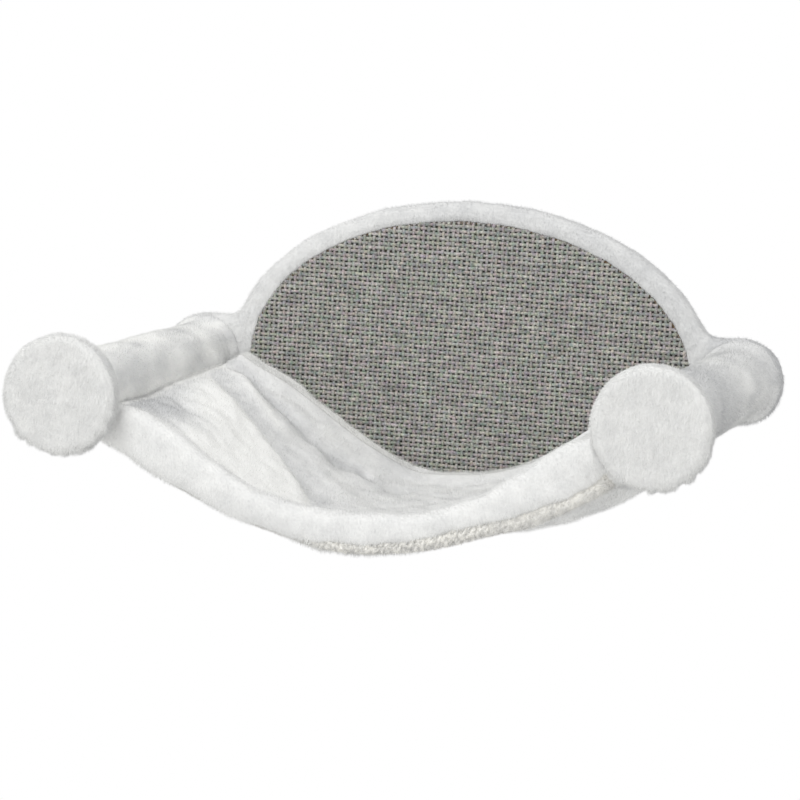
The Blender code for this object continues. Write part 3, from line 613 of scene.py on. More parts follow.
def pile_growth():
    """Geometry nodes that grow leaning tufts where a surface's pile attribute says so."""
    tree = bpy.data.node_groups.get("Pile Growth")
    if tree:
        return tree
    tree = bpy.data.node_groups.new("Pile Growth", "GeometryNodeTree")
    sockets(tree, "INPUT", {"Ground": "Geometry", "Density": "Float", "Length": "Float",
                            "Width": "Float", "Lean": "Vector", "Crush": "Float",
                            "Clump": "Float", "Seed": "Int"})
    sockets(tree, "OUTPUT", {"Pile": "Geometry"})
    given = tree.nodes.new("NodeGroupInput").outputs

    def marked(name):
        return node(tree, "GeometryNodeInputNamedAttribute", {"Name": name},
                    data_type="FLOAT").outputs["Attribute"]

    scatter = node(tree, "GeometryNodeDistributePointsOnFaces", {
        "Mesh": given["Ground"], "Seed": given["Seed"],
        "Density": math_node(tree, "MULTIPLY", given["Density"], marked("pile")),
    })
    tuft = node(tree, "GeometryNodeMeshCone", {
        "Vertices": 3, "Radius Top": 0, "Radius Bottom": given["Width"],
        "Depth": given["Length"],
    })

    place = tree.nodes.new("GeometryNodeInputPosition").outputs["Position"]
    clumps = texture(tree, place, math_node(tree, "DIVIDE", 1, given["Clump"]), 2, output="Color")
    pushed = node(tree, "ShaderNodeVectorMath", {
        0: vector_node(tree, "SUBTRACT", clumps, (0.5, 0.5, 0.5)), "Scale": given["Crush"],
    }, operation="SCALE")
    stray = node(tree, "FunctionNodeRandomValue", {
        "Min": (-0.22, -0.22, -0.22), "Max": (0.22, 0.22, 0.22), "Seed": given["Seed"],
    }, data_type="FLOAT_VECTOR")
    leaning = vector_node(tree, "ADD", scatter.outputs["Normal"], given["Lean"])
    both = vector_node(tree, "ADD", pushed.outputs[0], stray.outputs["Value"])
    turn = node(tree, "FunctionNodeAlignRotationToVector",
                {"Vector": vector_node(tree, "ADD", leaning, both)}, axis="Z")
    sizes = node(tree, "FunctionNodeRandomValue", {
        "Min": 0.65, "Max": 1.15, "Seed": math_node(tree, "ADD", given["Seed"], 1),
    }, data_type="FLOAT")

    plant = node(tree, "GeometryNodeInstanceOnPoints", {
        "Points": scatter.outputs["Points"], "Instance": tuft.outputs["Mesh"],
        "Rotation": turn.outputs["Rotation"],
        "Scale": math_node(tree, "MULTIPLY", sizes.outputs[1], marked("tall")),
    })
    real = node(tree, "GeometryNodeRealizeInstances", {"Geometry": plant.outputs["Instances"]})
    node(tree, "NodeGroupOutput", {"Pile": real.outputs["Geometry"]})
    return tree


def grow_pile(name, ground, surface, density, length, width, lean, crush, clump, seed):
    """Grow pile on a piece and keep it as a piece of its own."""
    field = linked(name + "_field", ground.data)
    growth = field.modifiers.new("Pile", "NODES")
    growth.node_group = pile_growth()
    values = {"Density": density * 1e6, "Length": length, "Width": width / 2, "Lean": lean,
              "Crush": crush, "Clump": clump, "Seed": seed}
    for socket in growth.node_group.interface.items_tree:
        if socket.name in values:
            growth[socket.identifier] = values[socket.name]
    mesh = applied(field)
    for attribute in [item.name for item in mesh.attributes]:
        if attribute in ("pile", "tall", "UVMap"):
            mesh.attributes.remove(mesh.attributes[attribute])
    pile = riding(name, mesh, surface)
    mesh.shade_flat()
    return pile


# Materials

def effect(name, given, build):
    """A shared shader node group, whose build gives its colour, roughness and height."""
    tree = bpy.data.node_groups.get(name)
    if tree:
        return tree
    tree = bpy.data.node_groups.new(name, "ShaderNodeTree")
    kinds = {socket: "Color" if isinstance(value, tuple) else "Float"
             for socket, value in given.items()}
    _, *made = sockets(tree, "INPUT", {"Place": "Vector", **kinds})
    for socket, value in zip(made, given.values()):
        socket.default_value = value
    sockets(tree, "OUTPUT", {"Color": "Color", "Roughness": "Float", "Height": "Float"})
    results = build(tree, tree.nodes.new("NodeGroupInput").outputs)
    node(tree, "NodeGroupOutput", dict(zip(("Color", "Roughness", "Height"), results)))
    return tree


def nap(tree, given):
    """Pile in soft random patches, over the painted light and shade of its input."""
    patch = texture(tree, given["Place"], given["Patch Scale"], 3, 0.6)
    tuft = texture(tree, given["Place"], given["Tuft Scale"], 2)
    fibre = texture(tree, given["Place"], given["Fibre Scale"], 1)
    painted_light_and_patches = math_node(tree, "ADD", given["Nap And Painted Light"], ranged(tree, patch, 0.35, 0.65, -0.07, 0.07))
    speck = ranged(tree, tuft, 0.3, 0.7, -0.07, 0.07)
    share = ranged(tree, math_node(tree, "ADD", painted_light_and_patches, speck), 0, 1, 0, 1)
    return (mixed(tree, share, given["Shade"], given["Colour"]),
            ranged(tree, painted_light_and_patches, 0, 1, 1.0, 0.86),
            math_node(tree, "ADD", math_node(tree, "MULTIPLY", tuft, 0.65),
                      math_node(tree, "MULTIPLY", fibre, 0.35)))


def nap_effect():
    return effect("Plush Nap", {
        "Nap And Painted Light": 0.75, "Colour": (1, 1, 1, 1), "Shade": (0.6, 0.6, 0.6, 1), "Patch Scale": 90,
        "Tuft Scale": 480, "Fibre Scale": 1500,
    }, nap)


def twisted(tree, given):
    """Twisted hard fibre: pale and dark strands, streaked yarns and a few tints."""
    place = given["Place"]
    strand = texture(tree, place, given["Strand Scale"], 2, 0.6)
    knot = texture(tree, place, given["Tint Scale"], 3, 0.7)
    level = node(tree, "ShaderNodeMapping", {"Vector": place, "Scale": (45, 1, 240)})
    streak = texture(tree, level.outputs[0], 1, 2, 0.6)
    light = math_node(tree, "MULTIPLY", ranged(tree, strand, 0.3, 0.7, 0.72, 1.3),
                      ranged(tree, streak, 0.3, 0.7, 0.76, 1.24))
    light = math_node(tree, "MULTIPLY", light, ranged(tree, knot, 0.3, 0.7, 0.75, 1.25))
    grey = node(tree, "ShaderNodeCombineColor", {0: light, 1: light, 2: light})
    toned = mixed(tree, 1.0, given["Colour"], grey.outputs[0], "MULTIPLY")
    tint = texture(tree, place, given["Tint Scale"], 3, output="Color")
    return (mixed(tree, 0.45, toned, tint, "SOFT_LIGHT"),
            ranged(tree, strand, 0, 1, 0.95, 0.7), strand)


def yarn_effect():
    return effect("Hard Fibre", {
        "Colour": (0.4, 0.4, 0.4, 1), "Strand Scale": 900, "Tint Scale": 260,
    }, twisted)


def chips(tree, given):
    """Pressed wood fibre with fine chips."""
    fibre = texture(tree, given["Place"], given["Fibre Scale"], 4, 0.7)
    cloud = texture(tree, given["Place"], given["Cloud Scale"], 3)
    share = math_node(tree, "MULTIPLY", ranged(tree, fibre, 0.35, 0.65, 0.55, 1),
                      ranged(tree, cloud, 0.3, 0.7, 0.75, 1))
    return (mixed(tree, share, given["Dark"], given["Colour"]),
            ranged(tree, fibre, 0, 1, 0.9, 0.7), fibre)


def board_effect():
    return effect("Pressed Fibre", {
        "Colour": (0.4, 0.3, 0.2, 1), "Dark": (0.2, 0.13, 0.07, 1), "Fibre Scale": 900,
        "Cloud Scale": 25,
    }, chips)


def plated(tree, given):
    """Plated steel: cloudy shine and dull specks."""
    cloud = texture(tree, given["Place"], given["Cloud Scale"], 3)
    speck = texture(tree, given["Place"], given["Speck Scale"], 2)
    share = math_node(tree, "MULTIPLY", ranged(tree, cloud, 0.3, 0.7, 0.5, 1),
                      ranged(tree, speck, 0.3, 0.5, 0.7, 1))
    return (mixed(tree, share, given["Dull"], given["Colour"]),
            ranged(tree, cloud, 0.3, 0.7, 0.45, 0.28), speck)


def plate_effect():
    return effect("Plated Steel", {
        "Colour": (0.6, 0.6, 0.6, 1), "Dull": (0.4, 0.4, 0.38, 1), "Cloud Scale": 160,
        "Speck Scale": 1400,
    }, plated)


def material(name, colour, roughness, tree, values=(), strength=0.0, distance=0.001,
             **constants):
    """A material that shows an effect on Object coordinates, made once."""
    made = bpy.data.materials.get(name)
    if made:
        return made
    made = bpy.data.materials.new(name)
    made.use_nodes = True
    own = made.node_tree
    shader = own.nodes["Principled BSDF"]
    shader.inputs["Base Color"].default_value = (*colour, 1)
    shader.inputs["Roughness"].default_value = roughness
    for socket, value in constants.items():
        shader.inputs[socket.replace("_", " ")].default_value = value
    place = own.nodes.new("ShaderNodeTexCoord").outputs["Object"]
    group = node(own, "ShaderNodeGroup", {"Place": place, "Colour": (*colour, 1), **dict(values)},
                 node_tree=tree)
    own.links.new(group.outputs["Color"], shader.inputs["Base Color"])
    own.links.new(group.outputs["Roughness"], shader.inputs["Roughness"])
    if strength:
        relief = node(own, "ShaderNodeBump", {"Strength": strength, "Distance": distance,
                                              "Height": group.outputs["Height"]})
        own.links.new(relief.outputs["Normal"], shader.inputs["Normal"])
    return made


def plush(name="plush_nap", tint=(1, 1, 1)):
    found = bpy.data.materials.get(name)
    if found:
        return found
    look = bpy.context.scene.catbed_plush
    colour, shade = ([own * part for own, part in zip(given, tint)]
                     for given in (look.colour, look.shade))
    made = material(name, colour, 0.95, nap_effect(), {"Shade": (*shade, 1)}, 0.5, 0.0008,
                    Sheen_Weight=0.12, Sheen_Roughness=0.6, Specular_IOR_Level=0.15)
    nap_and_painted_light = node(made.node_tree, "ShaderNodeAttribute", attribute_name="nap_and_painted_light")
    group = next(item for item in made.node_tree.nodes if item.type == "GROUP")
    made.node_tree.links.new(nap_and_painted_light.outputs["Fac"], group.inputs["Nap And Painted Light"])
    return made


# Operators

class CATBED_OT_board_cover(bpy.types.Operator):
    """Cover the board with plush, turned over its edge onto the back"""
    bl_idname = "catbed.board_cover"
    bl_label = "Board Cover"

    STEPS = (170, 46)               # round an arch and round an ear
    INNER_RINGS = 12
    ROUND_RINGS = 6
    SIDE_RINGS = 4
    BACK_RINGS = 7

    def rings(self):
        """The cover's outlines and depths, from its window over the edge onto the back."""
        back = HEM - 0.0006
        face = COVER_FACE - PILE_REACH * 0.6
        full = COVER_GROW - PILE_REACH
        rings = [(sisal_outline(grow, *self.STEPS), depth) for grow, depth in
                 ((GAP, SISAL_BACK), (GAP, face - 0.0014), (0.0010, face - 0.0003))]
        inner = sisal_outline(0.0028, *self.STEPS)
        outer = board_outline(full - BOARD_EDGE, *self.STEPS)
        for step in range(self.INNER_RINGS):
            share = step / self.INNER_RINGS
            rings.append(([near.lerp(far, share) for near, far in zip(inner, outer)],
                          face + 0.0004 * math.sin(math.pi * share)))
        edges = []
        for step in range(self.ROUND_RINGS + 1):
            turn = math.pi / 2 * step / self.ROUND_RINGS
            edges.append((full - BOARD_EDGE + BOARD_EDGE * math.sin(turn),
                          face - BOARD_EDGE + BOARD_EDGE * math.cos(turn)))
        edges += [(full, blend(face - BOARD_EDGE, HEM, step / self.SIDE_RINGS))
                  for step in range(1, self.SIDE_RINGS)]
        for step in range(self.SIDE_RINGS + 1):
            turn = math.pi / 2 * step / self.SIDE_RINGS
            edges.append((full - HEM + HEM * math.cos(turn), HEM - back * math.sin(turn)))
        edges += [(blend(full - HEM, -HEM_WIDTH, step / self.BACK_RINGS), HEM - back)
                  for step in range(1, self.BACK_RINGS + 1)]
        edges += [(-HEM_WIDTH, HEM), (GAP, HEM), (GAP, SISAL_BACK)]
        return rings + [(board_outline(grow, *self.STEPS), depth) for grow, depth in edges]

    # The board plush's painted light and shade over a random patchy tone: painted light on the
    # upper left, brighter low down below the hammock, painted shade on the board's right end and
    # darker still at the right ear's outer side.
    def nap_and_painted_light(self, spot):
        nap_and_painted_light = 0.34 + 0.14 * wave(spot, 0.014, 84)
        if spot.z > 0:
            nap_and_painted_light += 0.20 * ease(spot.x / -0.12)
        elif spot.z < -0.09:
            nap_and_painted_light += 0.30
        return nap_and_painted_light - (0.22 if spot.x > 0.2 else 0) - (0.3 if spot.x > POST_X + 0.021 else 0)

    def execute(self, context):
        look = context.scene.catbed_plush
        rings = self.rings()
        count = len(rings[0][0])

        def place(round_share, ring_share):
            outline, depth = rings[round(ring_share * len(rings)) % len(rings)]
            spot = outline[round(round_share * count) % count]
            return Vector((spot.x, -depth, spot.y))

        bm = mapped_grid(count, len(rings), place)
        bmesh.ops.recalc_face_normals(bm, faces=bm.faces)
        ruffle(bm, 1, ((0.0011, 0.018), (0.0005, 0.005), (0.00022, 0.0022)),
               lambda spot: 0.15 if -spot.y < 0.002 else 1)
        mark_pile(bm, lambda spot, normal: 0 if -spot.y < 0.0042 or normal.y > 0.15 else 1,
                  nap_and_painted_light=self.nap_and_painted_light)
        cover = finished("board_plush", bm, plush(), ["board_cover"])
        pile = grow_pile("board_pile", cover, plush(), look.density * 0.68, look.length,
                         look.width * 1.15, (0, -0.1, -0.7), look.crush, 0.0035, 11)
        return {"FINISHED"}


class CATBED_OT_sisal_mat(bpy.types.Operator):
    """Weave the scratching mat from upright and level yarns over its backing"""
    bl_idname = "catbed.sisal_mat"
    bl_label = "Sisal Mat"

    BACKING = 0.0008
    POINTS = 3                      # of a yarn from one crossing to the next
    HAIR_RADIUS = 0.00010

    def curve(self, name, radius, resolution):
        made = bpy.data.curves.new(name, "CURVE")
        made.dimensions = "3D"
        made.bevel_depth = radius
        made.bevel_resolution = resolution
        return made

    def strand(self, curve, points):
        """Add a line of (place, share of the radius) points to a curve."""
        spline = curve.splines.new("POLY")
        spline.points.add(len(points) - 1)
        for point, (spot, swell) in zip(spline.points, points):
            point.co = (*spot, 1)
            point.radius = swell

    def yarns(self, name, upright, look, surface):
        """One set of yarns, over and under the other set by turns."""
        own, other = look.pitch_up, look.pitch_across
        spacing, step = (other, own) if upright else (own, other)
        radius, crossed = (look.warp, look.weft) if upright else (look.weft, look.warp)
        flatten = (SISAL_FACE - SISAL_BACK - self.BACKING) / (2 * (look.warp + look.weft))
        curve = self.curve(name, radius, 1)
        curve.use_fill_caps = True
        seed = 1 if upright else 2
        lines = int((SISAL_HALF_WIDTH if upright else SISAL_HALF_HEIGHT) / spacing)
        for number in range(-lines, lines + 1):
            line = number * spacing + 0.0003 * noise.noise(Vector((number * 5.3, seed, 7)))
            reach = SISAL_HALF_WIDTH if upright else mat_reach(line)
            if abs(line) > reach - radius:
                continue
            share = math.sqrt(1 - (line / reach) ** 2)
            ragged = 0.0012 * noise.noise(Vector((number * 3.7, seed, 0))) - 0.0004
            ends = [share * far + ragged for far in
                    ((mat_reach(-1), mat_reach(1)) if upright else (SISAL_HALF_WIDTH,) * 2)]
            length = sum(ends)
            count = max(int(length / step * self.POINTS), 2)
            points = []
            for index in range(count + 1):
                along = -ends[0] + length * index / count
                seat = Vector((number * 0.9, along / 0.012, seed))
                drift = 0.0006 * noise.noise(seat)
                swell = 1 + 0.35 * noise.noise(Vector((number * 1.3, along / 0.0045, seed + 5)))
                over = math.cos(math.pi * (along / step + number)) * (1 if upright else -1)
                rise = crossed * over * 0.95 + 0.0005 * noise.noise(seat * 2)
                spot = on_mat(*((line + drift, along) if upright else (along, line + drift)))
                points.append(((spot.x, -rise, spot.y), swell))
            self.strand(curve, points)
        mesh = applied(linked(name, curve))
        middle = SISAL_BACK + self.BACKING + (look.warp + look.weft) * flatten
        for vert in mesh.vertices:
            vert.co.y = vert.co.y * flatten - middle
        return riding(name, mesh, surface)

    def hairs(self, look, surface):
        """Stray fibres that curl off the yarns."""
        draw = random.Random(7)
        curve = self.curve("sisal_hairs", self.HAIR_RADIUS, 0)
        for _ in range(look.hairs):
            turn = draw.uniform(0, math.tau)
            out = 0.97 * math.sqrt(draw.random())
            middle = out * oval(SISAL_HALF_WIDTH, SISAL_HALF_HEIGHT, turn)
            way = draw.choice((0, 0, math.pi / 2)) + draw.gauss(0, 0.5)
            length = draw.uniform(0.002, 0.0075)
            bend = draw.uniform(-0.5, 0.5)
            points = []
            for share in (-1, -0.5, 0, 0.5, 1):
                arch = 1 - share * share
                along = length * share / 2
                away = bend * length * arch / 2
                spot = on_mat(middle.x + along * math.cos(way) - away * math.sin(way),
                              middle.y + along * math.sin(way) + away * math.cos(way))
                points.append(((spot.x, -SISAL_FACE - 0.0009 * arch + 0.0003, spot.y),
                               1.1 - 0.6 * abs(share)))
            self.strand(curve, points)
        return riding("sisal_hairs", applied(linked("sisal_hairs", curve)), surface)

    def execute(self, context):
        look = context.scene.catbed_sisal
        surface = material("sisal_yarn", look.colour, 0.85, yarn_effect(), strength=0.8,
                           distance=0.0004, Specular_IOR_Level=0.25)
        dark = material("sisal_backing", look.backing, 0.9, yarn_effect(), strength=0.3,
                        distance=0.0003)

        bm = bmesh.new()
        outline = sisal_outline(-0.0012, 60, 20)
        face = bm.faces.new([bm.verts.new((spot.x, -SISAL_BACK, spot.y)) for spot in outline])
        grown = bmesh.ops.extrude_face_region(bm, geom=[face])
        top = [item for item in grown["geom"] if isinstance(item, bmesh.types.BMVert)]
        bmesh.ops.translate(bm, verts=top, vec=(0, -self.BACKING, 0))
        bmesh.ops.recalc_face_normals(bm, faces=bm.faces)
        backing = finished("sisal_backing", bm, dark, ["sisal_mat"])
        backing.data.shade_flat()
        warp = self.yarns("sisal_warp", True, look, surface)
        weft = self.yarns("sisal_weft", False, look, surface)
        hairs = self.hairs(look, surface)
        return {"FINISHED"}


class CATBED_OT_post_sleeves(bpy.types.Operator):
    """Sew a plush sleeve round each post"""
    bl_idname = "catbed.post_sleeves"
    bl_label = "Post Sleeves"

    ALONG = (1, 2.6, 1)             # how far the cloth's bumps are drawn out along the post
    START = POST_START - 0.5 * PILE_REACH   # the sleeve's end stands in the board's pile
    HOLLOW = SLEEVE_RADIUS - PLUSH
    LIP = 0.0006                    # rounding of the sleeve's ends
    FLARE = 0.0060                  # of the sleeve's end on the board
    FLARE_REACH = 0.0078
    # Patches of painted light and shade: depth, degrees above the level, reach, how far
    LIGHT_AND_SHADE_PATCHES = {
        "left": ((0.085, 66, 0.014, -0.34), (0.105, 46, 0.010, -0.18), (0.190, 66, 0.010, -0.20),
                 (0.150, 4, 0.026, 0.38), (0.062, 22, 0.015, 0.36), (0.015, 75, 0.012, -0.36),
                 (0.050, 66, 0.012, -0.20)),
        "right": ((0.022, 176, 0.013, -0.36), (0.100, 168, 0.020, 0.22), (0.120, 84, 0.018, 0.22)),
    }
    # Creases round the sleeve near the board: depth, lean, width and how deep
    CREASES = ((0.0290, 0.002, 0.0016, 0.0016), (0.0360, 0.004, 0.0022, 0.0014),
               (0.0490, -0.006, 0.0030, 0.0009))

    def execute(self, context):
        look = context.scene.catbed_plush
        for side, sign, seed in (("left", -1, 21), ("right", 1, 22)):
            sleeve = self.sleeve(side, sign, seed)
            pile = grow_pile("sleeve_pile_" + side, sleeve, plush(), look.density * 0.74,
                             look.length, look.width, (0, -0.7, -0.35), look.crush, 0.0035, seed)
        return {"FINISHED"}

    def sleeve(self, side, sign, seed):
        radius, lip = SLEEVE_GROUND, self.LIP
        profile = arc((radius - lip, self.START + lip), lip, -math.pi / 2, 0, 3)
        profile += straight((radius, self.START + lip), (radius, POST_END - lip), 130)
        profile += arc((radius - lip, POST_END - lip), lip, 0, math.pi / 2, 3)
        profile += [(self.HOLLOW, POST_END), (self.HOLLOW, self.START)]
        bm = turned(profile, 84)
        bmesh.ops.translate(bm, verts=bm.verts, vec=(sign * POST_X, 0, 0))

        def outside(spot):
            return 1 if from_post(spot, sign).length > self.HOLLOW + 0.0005 else 0

        def turn_of(spot):
            """The angle above the level, on the side of the hammock."""
            return math.atan2(spot.z, POST_X - sign * spot.x)

        def free(spot):
            """1 where no hammock is sewn on, 0 where it is."""
            return ease(abs(math.degrees(turn_of(spot)) + 52) / 16 - 44 / 16)

        ruffle(bm, seed, ((0.0012, 0.016), (0.0005, 0.006), (0.0002, 0.0022)),
               lambda spot: outside(spot) * free(spot), self.ALONG)
        for vert in bm.verts:
            if outside(vert.co):
                turn = turn_of(vert.co)
                depth = -vert.co.y
                push = self.FLARE * math.exp((POST_START - depth) / self.FLARE_REACH)
                for start, lean, width, deep in self.CREASES:
                    middle = start + lean * turn + 0.002 * wave((turn, start, 0), 0.5, seed)
                    push -= deep * bump(depth, middle, width) * ease(1.1 - turn) \
                        * (1 if sign < 0 else 0.4)
                vert.co += from_post(vert.co, sign).normalized() * push * free(vert.co)
                over = (from_post(vert.co, sign).length
                        - EAR_RADIUS - COVER_GROW + PILE_REACH + BOARD_EDGE)
                if over > 0 and depth < POST_START + 2 * lip:
                    over = min(over, BOARD_EDGE)
                    vert.co.y += BOARD_EDGE - math.sqrt(BOARD_EDGE ** 2 - over ** 2)

        # The sleeve's painted light and shade: its patches, over a random patchy tone.
        def nap_and_painted_light(spot):
            turn = turn_of(spot)
            patches = 0
            for depth, degrees, reach, change in self.LIGHT_AND_SHADE_PATCHES[side]:
                away = math.hypot(spot.y + depth, radius * (turn - math.radians(degrees)))
                patches += change * bump(away, 0, reach)
            spot = Vector(own / far for own, far in zip(spot, self.ALONG))
            patchy = 0.36 * wave(spot, 0.015, seed + 4) + 0.14 * wave(spot, 0.006, seed + 5)
            if side == "right":
                # Painted shade towards the disc end of the right sleeve.
                far = ease((0.10 / self.ALONG[1] + spot.y) / -0.04)
                return 0.48 - 0.25 * far + 0.5 * patchy + patches
            # Painted light on the underside over the hammock, where shade falls, and a painted
            # highlight on the top.
            under = 0.5 * ease(-turn / 0.5 + 0.2)
            return 0.50 + patchy + patches + under + 0.3 * ease(turn / 0.6 - 1)

        mark_pile(bm, lambda spot, normal: outside(spot), nap_and_painted_light=nap_and_painted_light)
        return finished("sleeve_" + side, bm, plush(), ["arm_sleeve_" + side])


class CATBED_OT_disc_covers(bpy.types.Operator):
    """Draw plush over each end disc and gather it behind"""
    bl_idname = "catbed.disc_covers"
    bl_label = "Disc Covers"

    RADIUS = DISC_RADIUS - 0.0014   # of the cloth's ground
    FACE = DISC_FACE - 0.0012
    EDGE = 0.0060                   # rounding in front
    BACK_ROUND = 0.0085
    DOME = 0.0004
    OUTER = RADIUS - EDGE
    HOLLOW = DISC_RADIUS - PLUSH
    GATHER_RADIUS = 0.013
    PLEATS = 26

    def execute(self, context):
        look = context.scene.catbed_plush
        for side, sign, seed in (("left", -1, 31), ("right", 1, 41)):
            cover = self.cover(side, sign, seed)
            pile = grow_pile("disc_pile_" + side, cover, plush(), look.density * 2.1,
                             look.length, look.width * 0.9, (-0.3, -0.05, -0.75),
                             look.crush * 0.7, 0.0045, seed)
        return {"FINISHED"}

    def profile(self):
        radius, face, edge, back = self.RADIUS, self.FACE, self.EDGE, self.BACK_ROUND
        profile = [(0, face)] + [(self.OUTER * step / 24, face - self.DOME * (step / 24) ** 2)
                                 for step in range(1, 24)]
        profile += arc((self.OUTER, face - self.DOME - edge), edge, math.pi / 2, 0, 9)
        profile += straight((radius, face - self.DOME - edge), (radius, DISC_BACK + back), 4)
        profile += arc((radius - back, DISC_BACK + back), back, 0, -math.pi / 2, 7)
        profile += straight((radius - back, DISC_BACK), (self.GATHER_RADIUS, DISC_BACK), 9)
        return profile + [
            (self.GATHER_RADIUS, DISC_BACK), (self.GATHER_RADIUS, DISC_BACK + PLUSH),
            (self.HOLLOW, DISC_BACK + PLUSH), (self.HOLLOW, DISC_FACE - PLUSH),
            (0, DISC_FACE - PLUSH)]

    def cover(self, side, sign, seed):
        bm = turned(self.profile(), 120)
        for vert in bm.verts:
            around = math.hypot(vert.co.x, vert.co.z)
            if around > 0.02 and -vert.co.y < DISC_BACK + PLUSH - 0.0005:
                turn = math.atan2(vert.co.z, vert.co.x)
                share = ease((self.RADIUS - around) / 0.014)
                fold = math.cos(self.PLEATS * turn + 1.3 * math.sin(3 * turn + seed))
                vert.co.y -= 0.0009 * share * (1 + fold)
        bmesh.ops.translate(bm, verts=bm.verts, vec=(sign * POST_X, 0, 0))

        def outside(spot):
            shown = -spot.y > DISC_FACE - PLUSH + 0.0003 or -spot.y < DISC_BACK + 0.003 \
                or from_post(spot, sign).length > self.HOLLOW + 0.0003
            return 1 if shown else 0

        ruffle(bm, seed, ((0.0009, 0.016), (0.0004, 0.0055), (0.0002, 0.0024)), outside)

        def combed(spot):
            """From 0 to 1 where the rim is combed out into clumps, mostly low down."""
            away = from_post(spot, sign)
            clump = wave((spot.x, 0.3 * spot.y, spot.z), 0.0062, seed + 3)
            return ease(0.25 - away.z / DISC_RADIUS / 1.1) \
                * ease((away.length - self.OUTER) / 0.004) * ease(0.5 + 1.6 * clump)

        for vert in bm.verts:
            if outside(vert.co):
                vert.co += from_post(vert.co, sign).normalized() * 0.0016 * combed(vert.co)

        def grown(spot, normal):
            shown = -spot.y > DISC_BACK - 0.001 and from_post(spot, sign).length > 0.004
            return outside(spot) if shown or -spot.y > 0.32 else 0

        def nap_and_painted_light(spot):
            # Painted shade on the disc's side and back, behind its front rounding.
            rim = 0.16 if -spot.y < DISC_FACE - 0.006 else 0
            return 0.74 + 0.08 * wave(spot, 0.010, seed + 5) - rim

        mark_pile(bm, grown, lambda spot: 1 + 0.5 * combed(spot), nap_and_painted_light)
        return finished("disc_plush_" + side, bm, plush(), ["disc_cover_" + side])


class CATBED_OT_hammock(bpy.types.Operator):
    """Hang the two layers of the bowl between the sleeves"""
    bl_idname = "catbed.hammock"
    bl_label = "Hammock"

    BOWL_GRID = (224, 116)
    LINING_GRID = (112, 58)
    SEWN_SHARE = 0.72               # of the last section, where the cloth turns up the sleeve
    SEWN_RISE = math.radians(4)
    SEWN_WANDER = math.radians(3.2)

    def spot(self, across, out, level):
        """A point of the cloth at a depth under the bowl's upper face."""
        depth = blend(BOWL_REAR, BOWL_FRONT, out)
        side = 1 if across > 0 else -1
        inner = min(abs(across), LAST_SECTION_SHARE)
        bare = Vector((side * inner * HALF_SPAN, -depth, bowl_height(side * inner, out) - level))
        if abs(across) <= LAST_SECTION_SHARE:
            return bare
        wrap = sewn_wrap(out)[0] + level / CLEAR_RADIUS
        wrap += self.SEWN_WANDER * wave((side, depth, 0), 0.022, 58)
        share = (abs(across) - LAST_SECTION_SHARE) / (1 - LAST_SECTION_SHARE)
        if share < self.SEWN_SHARE:
            return bare.lerp(on_sleeve(side, wrap, depth), share / self.SEWN_SHARE)
        rise = self.SEWN_RISE * (share - self.SEWN_SHARE) / (1 - self.SEWN_SHARE)
        return on_sleeve(side, wrap - rise, depth)

    def layer(self, grid, level):
        bm = mapped_grid(*grid, lambda share, out: self.spot(2 * share - 1, out, level))
        bmesh.ops.recalc_face_normals(bm, faces=bm.faces)
        if sum(face.normal.z for face in bm.faces) < 0:
            bmesh.ops.reverse_faces(bm, faces=bm.faces)
        return bm

    def out(self, spot):
        return (-spot.y - BOWL_REAR) / BOWL_DEPTH

    def calm(self, spot):
        """0 along the bowl's edges, 1 inside."""
        side = ease((HALF_SPAN - abs(spot.x)) / 0.02)
        return side * ease(self.out(spot) / 0.08) * ease((1 - self.out(spot)) / 0.06)

    def execute(self, context):
        look = context.scene.catbed_plush
        wrinkle = context.scene.catbed_hammock.wrinkle
        bm = self.layer(self.BOWL_GRID, PILE_REACH * 0.5)
        ruffle(bm, 51, ((wrinkle * 1.5, 0.034), (wrinkle, 0.016), (0.0005, 0.006),
                        (0.0002, 0.0024)), self.calm)
        mark_pile(bm, nap_and_painted_light=lambda spot: bowl_nap_and_painted_light(spot.x / HALF_SPAN, self.out(spot)))
        bowl = finished("hammock_bowl", bm, plush(), ["hammock_top"])
        pile = grow_pile("bowl_pile", bowl, plush(), look.density * 0.45, look.length, look.width,
                         (0.1, -0.5, -0.1), look.crush * 1.3, 0.005, 51)
        thicken(bowl, CLOTH - PILE_REACH * 0.5)
        bm = self.layer(self.LINING_GRID, CLOTH + GAP)
        mark_pile(bm, nap_and_painted_light=lambda spot: 0.6)
        lining = finished("hammock_lining", bm, plush(), ["hammock_under"])
        thicken(lining, CLOTH)
        return {"FINISHED"}


